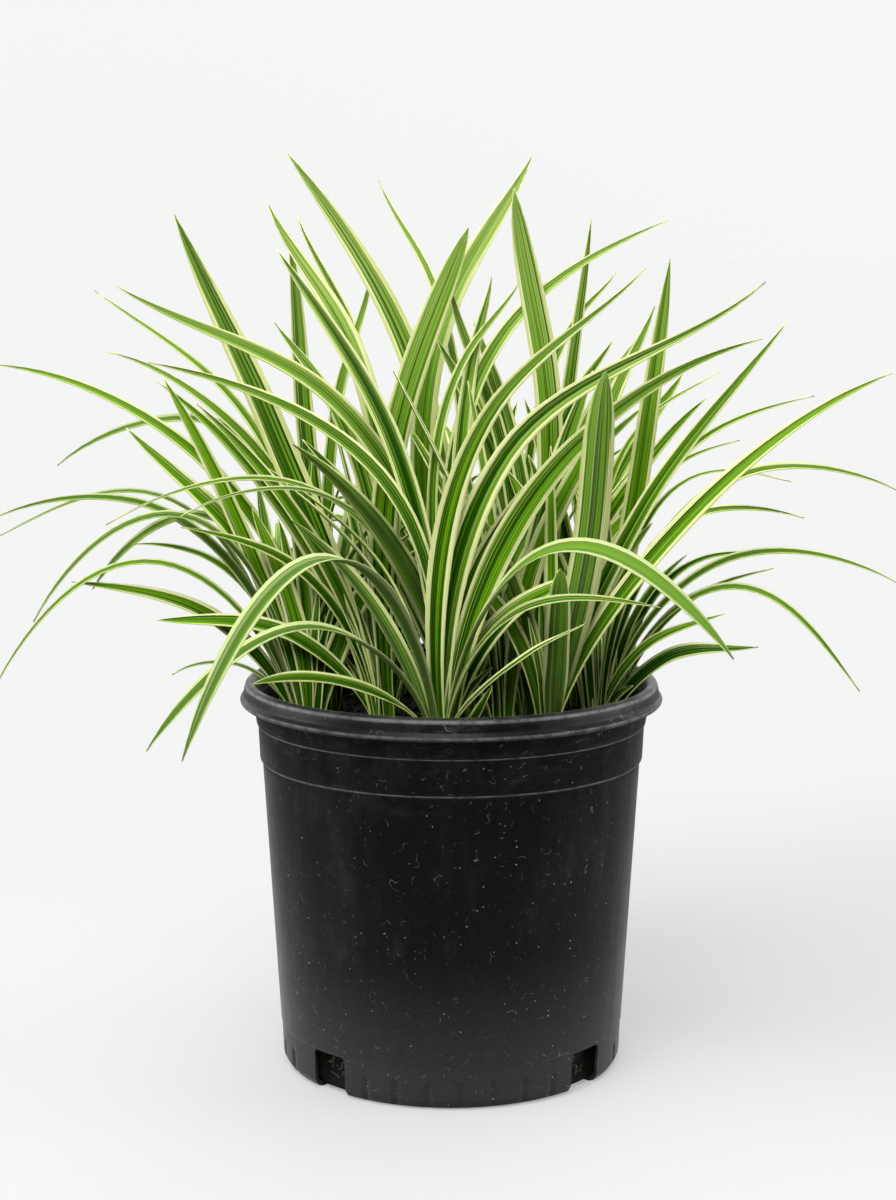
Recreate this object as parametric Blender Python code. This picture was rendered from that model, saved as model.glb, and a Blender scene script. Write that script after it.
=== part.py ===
# A variegated flax lily in a black nursery pot. Metres, +Z up, the viewer's side is -Y.
# The pot stands on z = 0 about the z axis. Sixteen leafy fans stand in plain holes in its potting mix.
import math
import random
from dataclasses import dataclass, replace

import bmesh
import bpy
from mathutils import Vector
from mathutils.bvhtree import BVHTree

MM = 0.001

# The pot: a common nursery pot, 235 mm across its rim and 219 mm tall.
POT_FOOT_RADIUS = 90.8 * MM
POT_WALL = 1.8 * MM
POT_FLOOR = 2.5 * MM
POT_SEAM_RADIUS = 97 * MM
POT_SEAM_HEIGHT = 23.8 * MM
POT_COLLAR_RADIUS = 107.3 * MM
POT_COLLAR_HEIGHT = 175 * MM
POT_NECK_RADIUS = 109 * MM
POT_NECK_HEIGHT = 195 * MM
POT_LIP_RADIUS = 118.2 * MM
POT_LIP_HEIGHT = 208.3 * MM
POT_HEIGHT = 218.6 * MM
POT_OPENING_RADIUS = 109.3 * MM
POT_SIDES = 40

# The drain notches, cut through the wall and the corner of the base.
NOTCH_BEARINGS = (46, 140, 226, 320)
NOTCH_WIDTH = 23.5 * MM
NOTCH_HEIGHT = 23 * MM
NOTCH_DEPTH = 8 * MM

# The potting mix and the holes that the fans stand in.
GAP = 0.3 * MM
MIX_LEVEL = 192 * MM
MIX_BUMP = 1.6 * MM
CROWN_SINK = 14 * MM
CROWN_RISE = 7 * MM
CROWN_RADIUS = 10 * MM
CROWN_SIDES = 8

# The blades are keeled underneath. The keel lies this far under the edges, plus a share of the width.
BLADE_KEEL = 0.5 * MM
BLADE_FOLD = 0.12
BLADE_ROOT_SHARE = 0.38
BLADE_ROOT_SINK = 5 * MM
BLADE_ROOT_SPREAD = 5.5 * MM
BLADE_CLEARANCE = 0.5 * MM
FIRST_SPAN = 0.09
TRIES = 250

# How bluntly a leaf ends. An arching leaf is slender, an upright one stays broad until near its point.
DRAWN_OUT = 1.5
SLENDER = 3
POINTED = 6
BLUNT = 12

# Fillers: how many each fan may get, how many of them are tall ones, and how far aside any of them reaches
# from the pot's axis.
FILLERS = 18
TALL_FILLERS = 14
SIDE_REACH = 112

# Each fan: its place on the mix in mm, then the leaves that can be told apart from the front. A leaf is
# (bearing, knee out, knee up, tip out, tip up, nod, width, turn) in degrees and mm: it rises from the fan,
# passes through its knee and ends at its tip, where it points nod degrees above level. The turn brings its
# upper face round to the front. A ninth value is how bluntly it ends, where its nod doesn't tell.
FANS = {
    "fan_front": ((-6, -58), [
        (235, 95, 113, 207, 29, -60, 13, 5, POINTED),
        (225, 85, 75, 196, 27, -45, 10.5, 15, POINTED),
        (10, 71, 163, 172, 217, 12, 20, 72, DRAWN_OUT),
        (5, 32, 156, 171, 248, 42, 19, 72, DRAWN_OUT),
        (195, 27, 142, 153, 208, 12, 12.5, 50),
        (320, 80, 115, 184, 68, -45, 13, 32, POINTED),
        (20, 25, 176, 117, 255, 45, 17, 72, DRAWN_OUT),
        (160, 25, 164, 96, 265, 53, 11, 55),
        (330, 39, 74, 127, 86, -5, 10.5, 30),
        (215, 70, 45, 115, 47, -10, 10, 30, POINTED),
        (330, 54, 56, 88, 75, 30, 6, 35),
        (8, 35, 72, 93, 94, 10, 14, 50),
        (345, 15, 12, 28, 34, 60, 8, 45, POINTED),
    ]),
    "fan_right_near": ((52, -50), [
        (330, 24, 113, 33, 203, 80, 19, -85, BLUNT),
        (280, 12, 50, 19, 99, 88, 14, 0, BLUNT),
        (10, 50, 125, 131, 228, 52, 11, 60, SLENDER),
        (350, 75, 126, 178, 202, 22, 12.5, 60),
    ]),
    "fan_front_right": ((80, -26), [
        (30, 27, 153, 44, 260, 82, 12.5, 65),
        (345, 75, 102, 161, 89, -28, 7.5, 35),
        (335, 79, 86, 144, 34, -50, 7.5, 30),
        (350, 91, 149, 159, 137, -25, 10, 40),
        (335, 35, 45, 88, 55, 12, 11.5, 50),
        (340, 24, 49, 72, 72, 22, 8, 40),
        (355, 61, 126, 108, 123, -15, 8, 35),
        (40, 9, 181, 42, 234, 65, 10, 60),
        (330, 9, 22, 19, 29, 30, 8, 45),
    ]),
    "fan_left_mid": ((-38, -18), [
        (40, 3, 161, 57, 277, 62, 15.5, 65, BLUNT),
        (160, 63, 168, 121, 284, 66, 16, 65),
        (200, 47, 55, 125, 69, 5, 11, 45, POINTED),
        (195, 46, 94, 108, 117, 12, 10, 45),
        (175, 59, 133, 121, 193, 35, 11, 60),
        (185, 56, 134, 100, 182, 42, 10, 55),
        (140, 21, 212, 84, 289, 60, 12.5, 55),
        (150, 33, 185, 70, 224, 50, 10, 60),
    ]),
    "fan_middle": ((6, -10), [
        (190, 67, 182, 184, 246, 33, 12.5, 55),
        (15, 33, 232, 116, 280, 22, 11.5, 50),
        (205, 101, 143, 199, 124, -28, 10, 35, DRAWN_OUT),
        (215, 110, 141, 177, 130, -25, 10, 35, DRAWN_OUT),
        (60, 13, 212, 31, 250, 75, 11, 65),
        (40, 2, 204, 44, 247, 52, 6, 60),
    ]),
    "fan_right_mid": ((44, 4), [
        (150, -11, 185, 11, 298, 83, 14.5, 70, BLUNT),
        (165, 15, 158, 46, 252, 82, 9, 60),
        (150, 10, 161, 34, 225, 65, 11.5, 60),
        (170, 22, 156, 52, 216, 60, 11.5, 60),
    ]),
    "fan_front_left": ((-78, -28), [
        (200, 44, 65, 125, 91, 10, 12.5, 50),
        (195, 78, 123, 144, 66, -60, 7, 35, POINTED),
        (175, 60, 100, 98, 103, -10, 7.5, 35),
        (205, 87, 100, 173, 25, -65, 8, 20, DRAWN_OUT),
        (190, 91, 130, 167, 120, -25, 8, 30),
        (185, 40, 97, 102, 168, 45, 12.5, 65),
        (170, 46, 134, 79, 196, 60, 10, 60),
        (210, 39, 43, 76, 40, -30, 4.5, 30),
    ]),
    "fan_back_mid": ((0, 46), [
        (165, 29, 216, 97, 319, 52, 15, 55),
        (45, -11, 219, 65, 317, 55, 15, 65),
        (130, 14, 246, 63, 304, 60, 6, 60),
    ]),
    "fan_left_back": ((-70, 40), [
        (195, 77, 155, 184, 202, 5, 11.5, 50),
        (185, 78, 169, 153, 142, -40, 7.5, 40, POINTED),
        (185, 47, 160, 123, 207, 12, 10, 50),
        (165, 52, 175, 140, 240, 35, 6, 50),
        (150, 19, 167, 29, 273, 80, 11.5, 70),
        (60, 3, 176, 44, 257, 76, 8, 60),
    ]),
    "fan_left_rim": ((-90, 6), [
        (190, 76, 132, 161, 106, -25, 5.5, 30),
        (205, 58, 120, 110, 82, -55, 8, 30, POINTED),
    ]),
    "fan_right_back": ((46, 54), [
        (15, 66, 159, 91, 193, 58, 12.5, 55),
        (350, 63, 142, 98, 181, 40, 11, 55),
        (30, 30, 183, 54, 212, 55, 10, 55),
        (40, 54, 184, 81, 213, 58, 10, 55),
        (45, 41, 225, 75, 251, 50, 6, 50),
        (40, 30, 191, 46, 282, 82, 9, 65),
    ]),
    "fan_right_rim": ((90, 12), [
        (0, 55, 141, 98, 135, -12, 5, 30),
        (10, 53, 160, 117, 182, 12, 6.5, 45),
        (20, 26, 174, 66, 196, 33, 4.5, 45),
        (10, 39, 148, 70, 158, 15, 6.5, 45),
        (345, 51, 94, 83, 98, 5, 8, 40),
        (330, 54, 77, 95, 93, 18, 5.5, 40),
        (350, 22, 75, 42, 96, 45, 7, 40),
    ]),
    "fan_back_left": ((-34, 76), [
        (140, 33, 216, 78, 284, 66, 7, 60),
    ]),
    "fan_back": ((12, 88), []),
    "fan_left_inner": ((-36, 28), []),
    "fan_right_far": ((76, 48), []),
    "fan_inner": ((27, -31), []),
}


def material(name, colour, roughness):
    mat = bpy.data.materials.new(name)
    mat.use_nodes = True
    shader = mat.node_tree.nodes["Principled BSDF"]
    shader.inputs["Base Color"].default_value = (*colour, 1.0)
    shader.inputs["Roughness"].default_value = roughness
    return mat


def new_object(name, points, faces, mat):
    mesh = bpy.data.meshes.new(name)
    mesh.from_pydata([tuple(p) for p in points], [], faces)
    mesh.materials.append(mat)
    obj = bpy.data.objects.new(name, mesh)
    bpy.context.scene.collection.objects.link(obj)
    return obj


def turned(name, profile, sides, mat):
    """A closed solid turned about the z axis. The profile starts and ends on the axis and goes round it."""
    points = [Vector((0, 0, profile[0][1]))]
    for radius, height in profile[1:-1]:
        for i in range(sides):
            angle = 2 * math.pi * i / sides
            points.append(Vector((radius * math.cos(angle), radius * math.sin(angle), height)))
    points.append(Vector((0, 0, profile[-1][1])))
    rings = len(profile) - 2
    faces = []
    for i in range(sides):
        j = (i + 1) % sides
        faces.append((0, 1 + j, 1 + i))
        faces.append((len(points) - 1, 1 + (rings - 1) * sides + i, 1 + (rings - 1) * sides + j))
        for r in range(rings - 1):
            low, high = 1 + r * sides, 1 + (r + 1) * sides
            faces.append((low + i, low + j, high + j, high + i))
    return new_object(name, points, faces, mat)


def cut(obj, cutter):
    cutter.hide_render = True
    cutter.display_type = "WIRE"
    modifier = obj.modifiers.new(cutter.name, "BOOLEAN")
    modifier.operation = "DIFFERENCE"
    modifier.solver = "EXACT"
    modifier.object = cutter


def pot_profile():
    lip = POT_LIP_RADIUS
    bead = POT_LIP_HEIGHT
    outside = [
        (0, 0),
        (POT_FOOT_RADIUS, 0),
        (POT_FOOT_RADIUS + 3 * MM, 1.4 * MM),
        (POT_FOOT_RADIUS + 5 * MM, 5 * MM),
        (POT_SEAM_RADIUS - 0.4 * MM, POT_SEAM_HEIGHT - 0.3 * MM),
        (POT_SEAM_RADIUS, POT_SEAM_HEIGHT + 0.3 * MM),
        (POT_COLLAR_RADIUS - 1.4 * MM, POT_COLLAR_HEIGHT - 1.4 * MM),
        (POT_COLLAR_RADIUS, POT_COLLAR_HEIGHT),
        (POT_NECK_RADIUS - 0.8 * MM, POT_NECK_HEIGHT - 0.8 * MM),
        (POT_NECK_RADIUS, POT_NECK_HEIGHT),
        (POT_NECK_RADIUS + 1.2 * MM, POT_NECK_HEIGHT + 7.4 * MM),
        (POT_NECK_RADIUS + 2.2 * MM, bead + 3 * MM),
    ]
    rolled_rim = [
        (lip - 6.1 * MM, bead + 5.4 * MM),
        (lip - 4.1 * MM, bead + 5.4 * MM),
        (lip - 3.3 * MM, bead - 0.8 * MM),
        (lip - 2.1 * MM, bead - 2.4 * MM),
        (lip - 0.5 * MM, bead - 1.6 * MM),
        (lip, bead),
        (lip - 0.8 * MM, bead + 1.4 * MM),
        (lip - 1.9 * MM, bead + 2.4 * MM),
        (lip - 2.4 * MM, POT_HEIGHT - 4 * MM),
        (lip - 3.3 * MM, POT_HEIGHT - 1.4 * MM),
        (lip - 5 * MM, POT_HEIGHT),
        (POT_OPENING_RADIUS + 1.3 * MM, POT_HEIGHT - 0.7 * MM),
        (POT_OPENING_RADIUS, POT_HEIGHT - 2.8 * MM),
    ]
    inside = [
        (POT_NECK_RADIUS + 1.2 * MM - POT_WALL, POT_NECK_HEIGHT + 7.4 * MM),
        (POT_COLLAR_RADIUS - POT_WALL, POT_COLLAR_HEIGHT),
        (POT_SEAM_RADIUS - POT_WALL, POT_SEAM_HEIGHT),
        (POT_FOOT_RADIUS + 5 * MM - POT_WALL, 6 * MM),
        (POT_FOOT_RADIUS + 1 * MM, POT_FLOOR),
        (0, POT_FLOOR),
    ]
    return outside + rolled_rim + inside


def notch_cutter(name, bearing, mat):
    """A block with a round top that opens the wall and the corner of the base."""
    reach = POT_SEAM_RADIUS + 6 * MM
    half = NOTCH_WIDTH / 2
    outline = [(-half, -3 * MM), (half, -3 * MM)]
    for step in range(7):
        angle = math.pi * step / 6
        outline.append((half * math.cos(angle), NOTCH_HEIGHT - 5 * MM + 5 * MM * math.sin(angle)))
    angle = math.radians(bearing)
    outward = Vector((math.cos(angle), math.sin(angle), 0))
    along = Vector((-outward.y, outward.x, 0))
    points = []
    for distance in (POT_SEAM_RADIUS - NOTCH_DEPTH - 3 * MM, reach):
        for side, height in outline:
            points.append(outward * distance + along * side + Vector((0, 0, height)))
    count = len(outline)
    faces = [tuple(reversed(range(count))), tuple(range(count, 2 * count))]
    for i in range(count):
        j = (i + 1) % count
        faces.append((i, j, count + j, count + i))
    return new_object(name, points, faces, mat)


def build_pot():
    black = material("pot_black_plastic", (0.016, 0.017, 0.018), 0.45)
    pot = turned("pot", pot_profile(), POT_SIDES, black)
    for number, bearing in enumerate(NOTCH_BEARINGS, 1):
        cut(pot, notch_cutter(f"notch_{number}", bearing, black))
    for face in pot.data.polygons:
        face.use_smooth = True
    return pot


def crown_hole(name, place, mat):
    x, y = place
    radius = CROWN_RADIUS + GAP
    points = []
    for height in (MIX_LEVEL - CROWN_SINK - GAP, MIX_LEVEL + 3 * MIX_BUMP):
        for i in range(CROWN_SIDES):
            angle = 2 * math.pi * i / CROWN_SIDES
            points.append((x * MM + radius * math.cos(angle), y * MM + radius * math.sin(angle), height))
    faces = [tuple(reversed(range(CROWN_SIDES))), tuple(range(CROWN_SIDES, 2 * CROWN_SIDES))]
    for i in range(CROWN_SIDES):
        j = (i + 1) % CROWN_SIDES
        faces.append((i, j, CROWN_SIDES + j, CROWN_SIDES + i))
    return new_object(name, points, faces, mat)


def build_mix():
    """The mix fills the pot. Its top is a little uneven and bumps are drawn from a fixed seed."""
    dark = material("potting_mix_dark", (0.035, 0.026, 0.02), 0.95)
    draw = random.Random(11)
    wall_slope = (POT_COLLAR_RADIUS - POT_SEAM_RADIUS) / (POT_COLLAR_HEIGHT - POT_SEAM_HEIGHT)
    inner_seam = POT_SEAM_RADIUS - POT_WALL - 2 * GAP
    top_radius = inner_seam + (MIX_LEVEL - POT_SEAM_HEIGHT) * wall_slope
    profile = [
        (0, POT_FLOOR + GAP),
        (POT_FOOT_RADIUS, POT_FLOOR + GAP),
        (POT_FOOT_RADIUS + 2.5 * MM, 6.5 * MM),
        (inner_seam - 0.4 * MM, POT_SEAM_HEIGHT),
        (top_radius - 0.6 * MM, MIX_LEVEL),
        (top_radius * 0.78, MIX_LEVEL),
        (top_radius * 0.52, MIX_LEVEL),
        (top_radius * 0.26, MIX_LEVEL),
        (0, MIX_LEVEL),
    ]
    mix = turned("potting_mix", profile, 20, dark)
    for vertex in mix.data.vertices:
        if vertex.co.z > MIX_LEVEL - MIX_BUMP and vertex.co.xy.length < top_radius * 0.9:
            vertex.co.z += draw.uniform(-MIX_BUMP, MIX_BUMP)
    for name, (place, leaves) in FANS.items():
        cut(mix, crown_hole(f"hole_{name}", place, dark))
    return mix


@dataclass
class Leaf:
    """One leaf: angles in degrees and sizes in mm, as in the rows above. Its root stands off the fan's middle."""
    bearing: float
    knee_out: float
    knee_up: float
    tip_out: float
    tip_up: float
    nod: float
    width: float
    turn: float
    ending: float = 0.0
    root_out: float = 0.0
    root_aside: float = 0.0

    def outward(self):
        angle = math.radians(self.bearing)
        return Vector((math.cos(angle), math.sin(angle), 0))

    def taper(self):
        if self.ending:
            return self.ending
        return SLENDER + (POINTED - SLENDER) * min(1, max(0, (self.nod - 25) / 30))

    def stations(self):
        """Places along the leaf, from 0 to 1: a short first span, then more spans where it bends more."""
        knee = Vector((self.knee_out, self.knee_up))
        end = Vector((self.tip_out, self.tip_up)) - knee
        spans = 3 + min(3, int(math.degrees(knee.angle(end)) / 25))
        return [0.0] + [FIRST_SPAN + (1 - FIRST_SPAN) * i / spans for i in range(spans + 1)]


def unit_blend(first, second, first_share, second_share):
    return (first.normalized() * first_share + second.normalized() * second_share).normalized()


def spine(place, leaf, stations):
    """Points along a leaf's midrib and the directions there: two smooth spans, root to knee and knee to tip."""
    knee = Vector((leaf.knee_out * MM, leaf.knee_up * MM + BLADE_ROOT_SINK))
    tip = Vector((leaf.tip_out * MM, leaf.tip_up * MM + BLADE_ROOT_SINK))
    first, second = knee.length, (tip - knee).length
    at_knee = unit_blend(knee, tip - knee, second, first)
    at_root = unit_blend(Vector((0, 1)), 2 * knee / first - at_knee, 1, 1)
    at_tip = Vector((math.cos(math.radians(leaf.nod)), math.sin(math.radians(leaf.nod))))
    outward = leaf.outward()
    aside = Vector((-outward.y, outward.x, 0))
    base = Vector((place[0] * MM, place[1] * MM, MIX_LEVEL - BLADE_ROOT_SINK))
    base += (outward * leaf.root_out + aside * leaf.root_aside) * MM
    points, directions = [], []
    for station in stations:
        along = station * (first + second)
        if along <= first:
            start, end, leave, arrive, length, s = Vector((0, 0)), knee, at_root, at_knee, first, along / first
        else:
            start, end, leave, arrive, length = knee, tip, at_knee, at_tip, second
            s = (along - first) / second
        flat = ((2 * s ** 3 - 3 * s ** 2 + 1) * start + (s ** 3 - 2 * s ** 2 + s) * length * leave
                + (3 * s ** 2 - 2 * s ** 3) * end + (s ** 3 - s ** 2) * length * arrive)
        slope = ((6 * s ** 2 - 6 * s) * start + (3 * s ** 2 - 4 * s + 1) * length * leave
                 + (6 * s - 6 * s ** 2) * end + (3 * s ** 2 - 2 * s) * length * arrive)
        points.append(base + outward * flat.x + Vector((0, 0, flat.y)))
        directions.append((outward * slope.x + Vector((0, 0, slope.y))).normalized())
    return points, directions


def blade(place, leaf, extra=0.0):
    """One leaf as a closed keeled blade: points and triangles. The extra makes it thicker and wider all round."""
    turn = math.radians(leaf.turn)
    outward = leaf.outward()
    front = Vector((-outward.y, outward.x, 0))
    if front.y > 0:
        front = -front
    stations = leaf.stations()
    centres, directions = spine(place, leaf, stations)
    upper_sign = 1 if front.cross(directions[0]).dot(outward) < 0 else -1
    points, faces = [], []
    for s, centre, direction in zip(stations[:-1], centres, directions):
        upper = front.cross(direction).normalized() * upper_sign
        face = upper * math.cos(turn) + front * math.sin(turn)
        side = direction.cross(face).normalized()
        share = BLADE_ROOT_SHARE + (1 - BLADE_ROOT_SHARE) * min(1, s / 0.4)
        half = leaf.width * MM * share * (1 - s ** leaf.taper()) / 2
        keel = BLADE_KEEL + 2 * half * BLADE_FOLD * (1 - 0.5 * s)
        points += [centre + side * (half + extra) + face * (keel / 2 + extra),
                   centre - side * (half + extra) + face * (keel / 2 + extra),
                   centre - face * (keel / 2 + extra)]
    points.append(centres[-1] + directions[-1] * extra)
    tip = len(points) - 1
    for a in range(0, tip - 3, 3):
        b = a + 3
        faces += [(a + 1, a, b + 1), (b + 1, a, b)]
        faces += [(a + 2, a + 1, b + 2), (b + 2, a + 1, b + 1)]
        faces += [(a, a + 2, b), (b, a + 2, b + 2)]
    faces += [(tip - 2, tip - 3, tip), (tip - 1, tip - 2, tip), (tip - 3, tip - 1, tip), (0, 1, 2)]
    return points, faces


def beyond(faces, station):
    """A blade's triangles from one of its stations to its tip."""
    return [face for face in faces if min(face) >= 3 * station]


class Thicket:
    """What has been placed so far, and whether a new blade would stay clear of it."""

    def __init__(self, fixed):
        self.fixed = fixed
        self.placed = []

    def is_clear(self, fan, place, leaf, first):
        """Leaves of one fan may only meet below the first station; all others stay apart."""
        points, faces = blade(place, leaf, BLADE_CLEARANCE)
        whole = BVHTree.FromPolygons(points, faces)
        upper = BVHTree.FromPolygons(points, beyond(faces, first))
        for name, tree in self.fixed.items():
            if (upper if name == fan else whole).overlap(tree):
                return False
        for name, whole_tree, upper_tree in self.placed:
            if name == fan:
                if upper.overlap(upper_tree):
                    return False
            elif whole.overlap(whole_tree):
                return False
        return True

    def add(self, fan, place, leaf):
        points, faces = blade(place, leaf)
        whole_tree = BVHTree.FromPolygons(points, faces)
        upper_tree = BVHTree.FromPolygons(points, beyond(faces, 1))
        self.placed.append((fan, whole_tree, upper_tree))


def rooted(draw, leaf):
    """The leaf with its root moved off the fan's middle, outward for one that arches low."""
    low = leaf.tip_out / (leaf.tip_out + abs(leaf.tip_up))
    out = BLADE_ROOT_SPREAD / MM * (low + draw.uniform(-0.4, 0.4))
    aside = BLADE_ROOT_SPREAD / MM * draw.uniform(-0.8, 0.8)
    return replace(leaf, root_out=out, root_aside=aside)


def bent_clear(thicket, draw, fan, place, leaf):
    """The leaf as it is, or turned aside a little further each time until it passes clear of the others."""
    for attempt in range(TRIES):
        spread = attempt / TRIES
        moved = replace(leaf, bearing=leaf.bearing + 20 * spread * draw.uniform(-1, 1),
                        knee_out=leaf.knee_out + 12 * spread * draw.uniform(-1, 1),
                        turn=leaf.turn + 50 * spread * draw.uniform(-1, 1))
        moved = rooted(draw, moved)
        if thicket.is_clear(fan, place, moved, 2):
            thicket.add(fan, place, moved)
            return moved
    return None


def filler(draw, place, short):
    """A leaf drawn from the seed: broad and leaning, one that arches out at the back, or a short one. None leans
    to the front from a front fan or reaches far aside, so the leaves told apart there stay in view."""
    if place[1] > 0 and not short and draw.random() < 0.3:
        reach = draw.uniform(90, 170)
        peak = draw.uniform(75, 150)
        drop = draw.uniform(-0.1, 0.55) * peak
        leaf = Leaf(draw.uniform(45, 135), reach * 0.5, peak, reach, peak - drop, -10 - 90 * drop / peak,
                    draw.uniform(8, 13), draw.uniform(-20, 30))
    else:
        length = draw.uniform(45, 95) if short else draw.uniform(100, 190) + 0.4 * (95 - math.hypot(*place))
        lean = math.radians(draw.uniform(4, 38))
        knee_lean = lean * draw.uniform(0.4, 0.7)
        bearing = draw.uniform(0, 360) if place[1] > -15 else draw.uniform(10, 170)
        leaf = Leaf(bearing, length * 0.5 * math.sin(knee_lean), length * 0.5 * math.cos(knee_lean),
                    length * math.sin(lean), length * math.cos(lean), 90 - 1.7 * math.degrees(lean),
                    draw.uniform(6, 11) if short else draw.uniform(9, 14.5), draw.uniform(-70, 70))
    if abs(place[0] + leaf.tip_out * leaf.outward().x) > SIDE_REACH:
        return replace(leaf, bearing=180 - leaf.bearing)
    return leaf


def grow_leaves(thicket):
    """Every fan's leaves: first the ones told apart from the front, then fillers drawn from a fixed seed."""
    draw = random.Random(7)
    grown = {name: [] for name in FANS}
    for name, (place, rows) in FANS.items():
        for row in rows:
            leaf = bent_clear(thicket, draw, name, place, Leaf(*row))
            if leaf:
                grown[name].append(leaf)
    for turn in range(FILLERS):
        short = turn >= TALL_FILLERS
        for name, (place, rows) in FANS.items():
            for attempt in range(TRIES):
                leaf = rooted(draw, filler(draw, place, short))
                if thicket.is_clear(name, place, leaf, 2 if short else 1):
                    thicket.add(name, place, leaf)
                    grown[name].append(leaf)
                    break
    return grown


def crown_shape(place):
    """The low foot that a fan's leaves grow from, sunk in the mix."""
    x, y = place[0] * MM, place[1] * MM
    rings = [
        (CROWN_RADIUS, MIX_LEVEL - CROWN_SINK),
        (CROWN_RADIUS, MIX_LEVEL + 1.5 * MM),
        (CROWN_RADIUS * 0.6, MIX_LEVEL + CROWN_RISE),
    ]
    points = []
    for radius, height in rings:
        for i in range(CROWN_SIDES):
            angle = 2 * math.pi * i / CROWN_SIDES
            points.append(Vector((x + radius * math.cos(angle), y + radius * math.sin(angle), height)))
    faces = [tuple(reversed(range(CROWN_SIDES))), tuple(range(2 * CROWN_SIDES, 3 * CROWN_SIDES))]
    for ring in range(2):
        for i in range(CROWN_SIDES):
            j = (i + 1) % CROWN_SIDES
            low, high = ring * CROWN_SIDES, (ring + 1) * CROWN_SIDES
            faces.append((low + i, low + j, high + j, high + i))
    return points, faces


def largest_body(mesh):
    """Keeps the one body that holds together and drops loose scraps and walls of sealed hollows."""
    work = bmesh.new()
    work.from_mesh(mesh)
    waiting = set(work.verts)
    bodies = []
    while waiting:
        front = [waiting.pop()]
        body = list(front)
        while front:
            vertex = front.pop()
            for edge in vertex.link_edges:
                other = edge.other_vert(vertex)
                if other in waiting:
                    waiting.remove(other)
                    front.append(other)
                    body.append(other)
        bodies.append(body)
    bodies.sort(key=len)
    for body in bodies[:-1]:
        bmesh.ops.delete(work, geom=body, context="VERTS")
    work.to_mesh(mesh)
    work.free()


def build_fan(name, place, leaves, green):
    """The crown and its blades fused by one union, then the loose blades are removed."""
    points, faces = crown_shape(place)
    fan = new_object(name, points, faces, green)
    blades = bpy.data.collections.new(f"{name}_blades")
    bpy.context.scene.collection.children.link(blades)
    for number, leaf in enumerate(leaves, 1):
        points, faces = blade(place, leaf)
        mesh = bpy.data.meshes.new(f"{name}_leaf_{number}")
        mesh.from_pydata([tuple(p) for p in points], [], faces)
        blades.objects.link(bpy.data.objects.new(mesh.name, mesh))
    union = fan.modifiers.new("blades", "BOOLEAN")
    union.operation = "UNION"
    union.operand_type = "COLLECTION"
    union.collection = blades
    union.solver = "MANIFOLD"
    depsgraph = bpy.context.evaluated_depsgraph_get()
    fused = bpy.data.meshes.new_from_object(fan.evaluated_get(depsgraph))
    fan.modifiers.remove(union)
    fan.data = fused
    for loose in list(blades.objects):
        bpy.data.objects.remove(loose)
    bpy.data.collections.remove(blades)
    largest_body(fan.data)
    return fan


def fixed_trees():
    """The pot's rim and every crown, which no blade of another fan may touch."""
    points, faces = [], []
    rim = [point for point in pot_profile() if point[1] > POT_COLLAR_HEIGHT]
    for radius, height in rim:
        for i in range(POT_SIDES):
            angle = 2 * math.pi * i / POT_SIDES
            points.append(Vector((radius * math.cos(angle), radius * math.sin(angle), height)))
    for ring in range(len(rim) - 1):
        for i in range(POT_SIDES):
            j = (i + 1) % POT_SIDES
            low, high = ring * POT_SIDES, (ring + 1) * POT_SIDES
            faces.append((low + i, low + j, high + j, high + i))
    trees = {"rim": BVHTree.FromPolygons(points, faces)}
    for name, (place, leaves) in FANS.items():
        trees[name] = BVHTree.FromPolygons(*crown_shape(place))
    return trees


for existing in list(bpy.data.objects):
    bpy.data.objects.remove(existing)
build_pot()
build_mix()
all_leaves = grow_leaves(Thicket(fixed_trees()))
for fan_name, fan_leaves in all_leaves.items():
    leaf_green = material(f"{fan_name}_leaf_green", (0.13, 0.27, 0.06), 0.45)
    build_fan(fan_name, FANS[fan_name][0], fan_leaves, leaf_green)
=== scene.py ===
# A variegated flax lily in a black nursery pot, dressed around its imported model.
# Metres, +Z up. The pot stands on z = 0 about the z axis, and the viewer's side is -Y.
import random
from dataclasses import dataclass, replace
from math import atan2, cos, degrees, hypot, pi, radians, sin, sqrt

import bmesh
import bpy
from mathutils import Matrix, Vector, noise
from mathutils.bvhtree import BVHTree


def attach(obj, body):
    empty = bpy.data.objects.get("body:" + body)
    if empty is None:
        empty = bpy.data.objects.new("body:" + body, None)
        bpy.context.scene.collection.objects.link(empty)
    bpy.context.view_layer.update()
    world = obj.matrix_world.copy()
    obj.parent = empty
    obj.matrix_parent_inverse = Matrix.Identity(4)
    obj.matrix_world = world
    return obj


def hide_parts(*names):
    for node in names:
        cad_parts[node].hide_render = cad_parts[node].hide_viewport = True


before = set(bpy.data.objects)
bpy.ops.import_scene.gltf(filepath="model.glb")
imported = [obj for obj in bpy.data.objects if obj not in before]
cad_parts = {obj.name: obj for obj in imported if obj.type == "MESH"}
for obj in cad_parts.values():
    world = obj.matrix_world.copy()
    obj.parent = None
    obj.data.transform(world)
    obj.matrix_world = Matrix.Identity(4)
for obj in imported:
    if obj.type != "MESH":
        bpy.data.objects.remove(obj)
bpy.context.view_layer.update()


# The pot is one injection moulding in black polyethylene: a tapered wall with two steps below a rolled rim,
# a moulded seam low down, short flutes round the skirt and four drain notches through the corner of the base.
# It is a profile spun about the z axis, with the flutes pressed in and the notches cut out.
MM = 0.001
POT_FOOT_RADIUS = 90.8 * MM
POT_WALL = 1.8 * MM
POT_FLOOR = 2.5 * MM
POT_SEAM_RADIUS = 97 * MM
POT_SEAM_HEIGHT = 23.8 * MM
POT_COLLAR_RADIUS = 107.3 * MM
POT_COLLAR_HEIGHT = 175 * MM
POT_NECK_RADIUS = 109 * MM
POT_NECK_HEIGHT = 195 * MM
POT_LIP_RADIUS = 118.2 * MM
POT_LIP_HEIGHT = 208.3 * MM
POT_HEIGHT = 218.6 * MM
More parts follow.
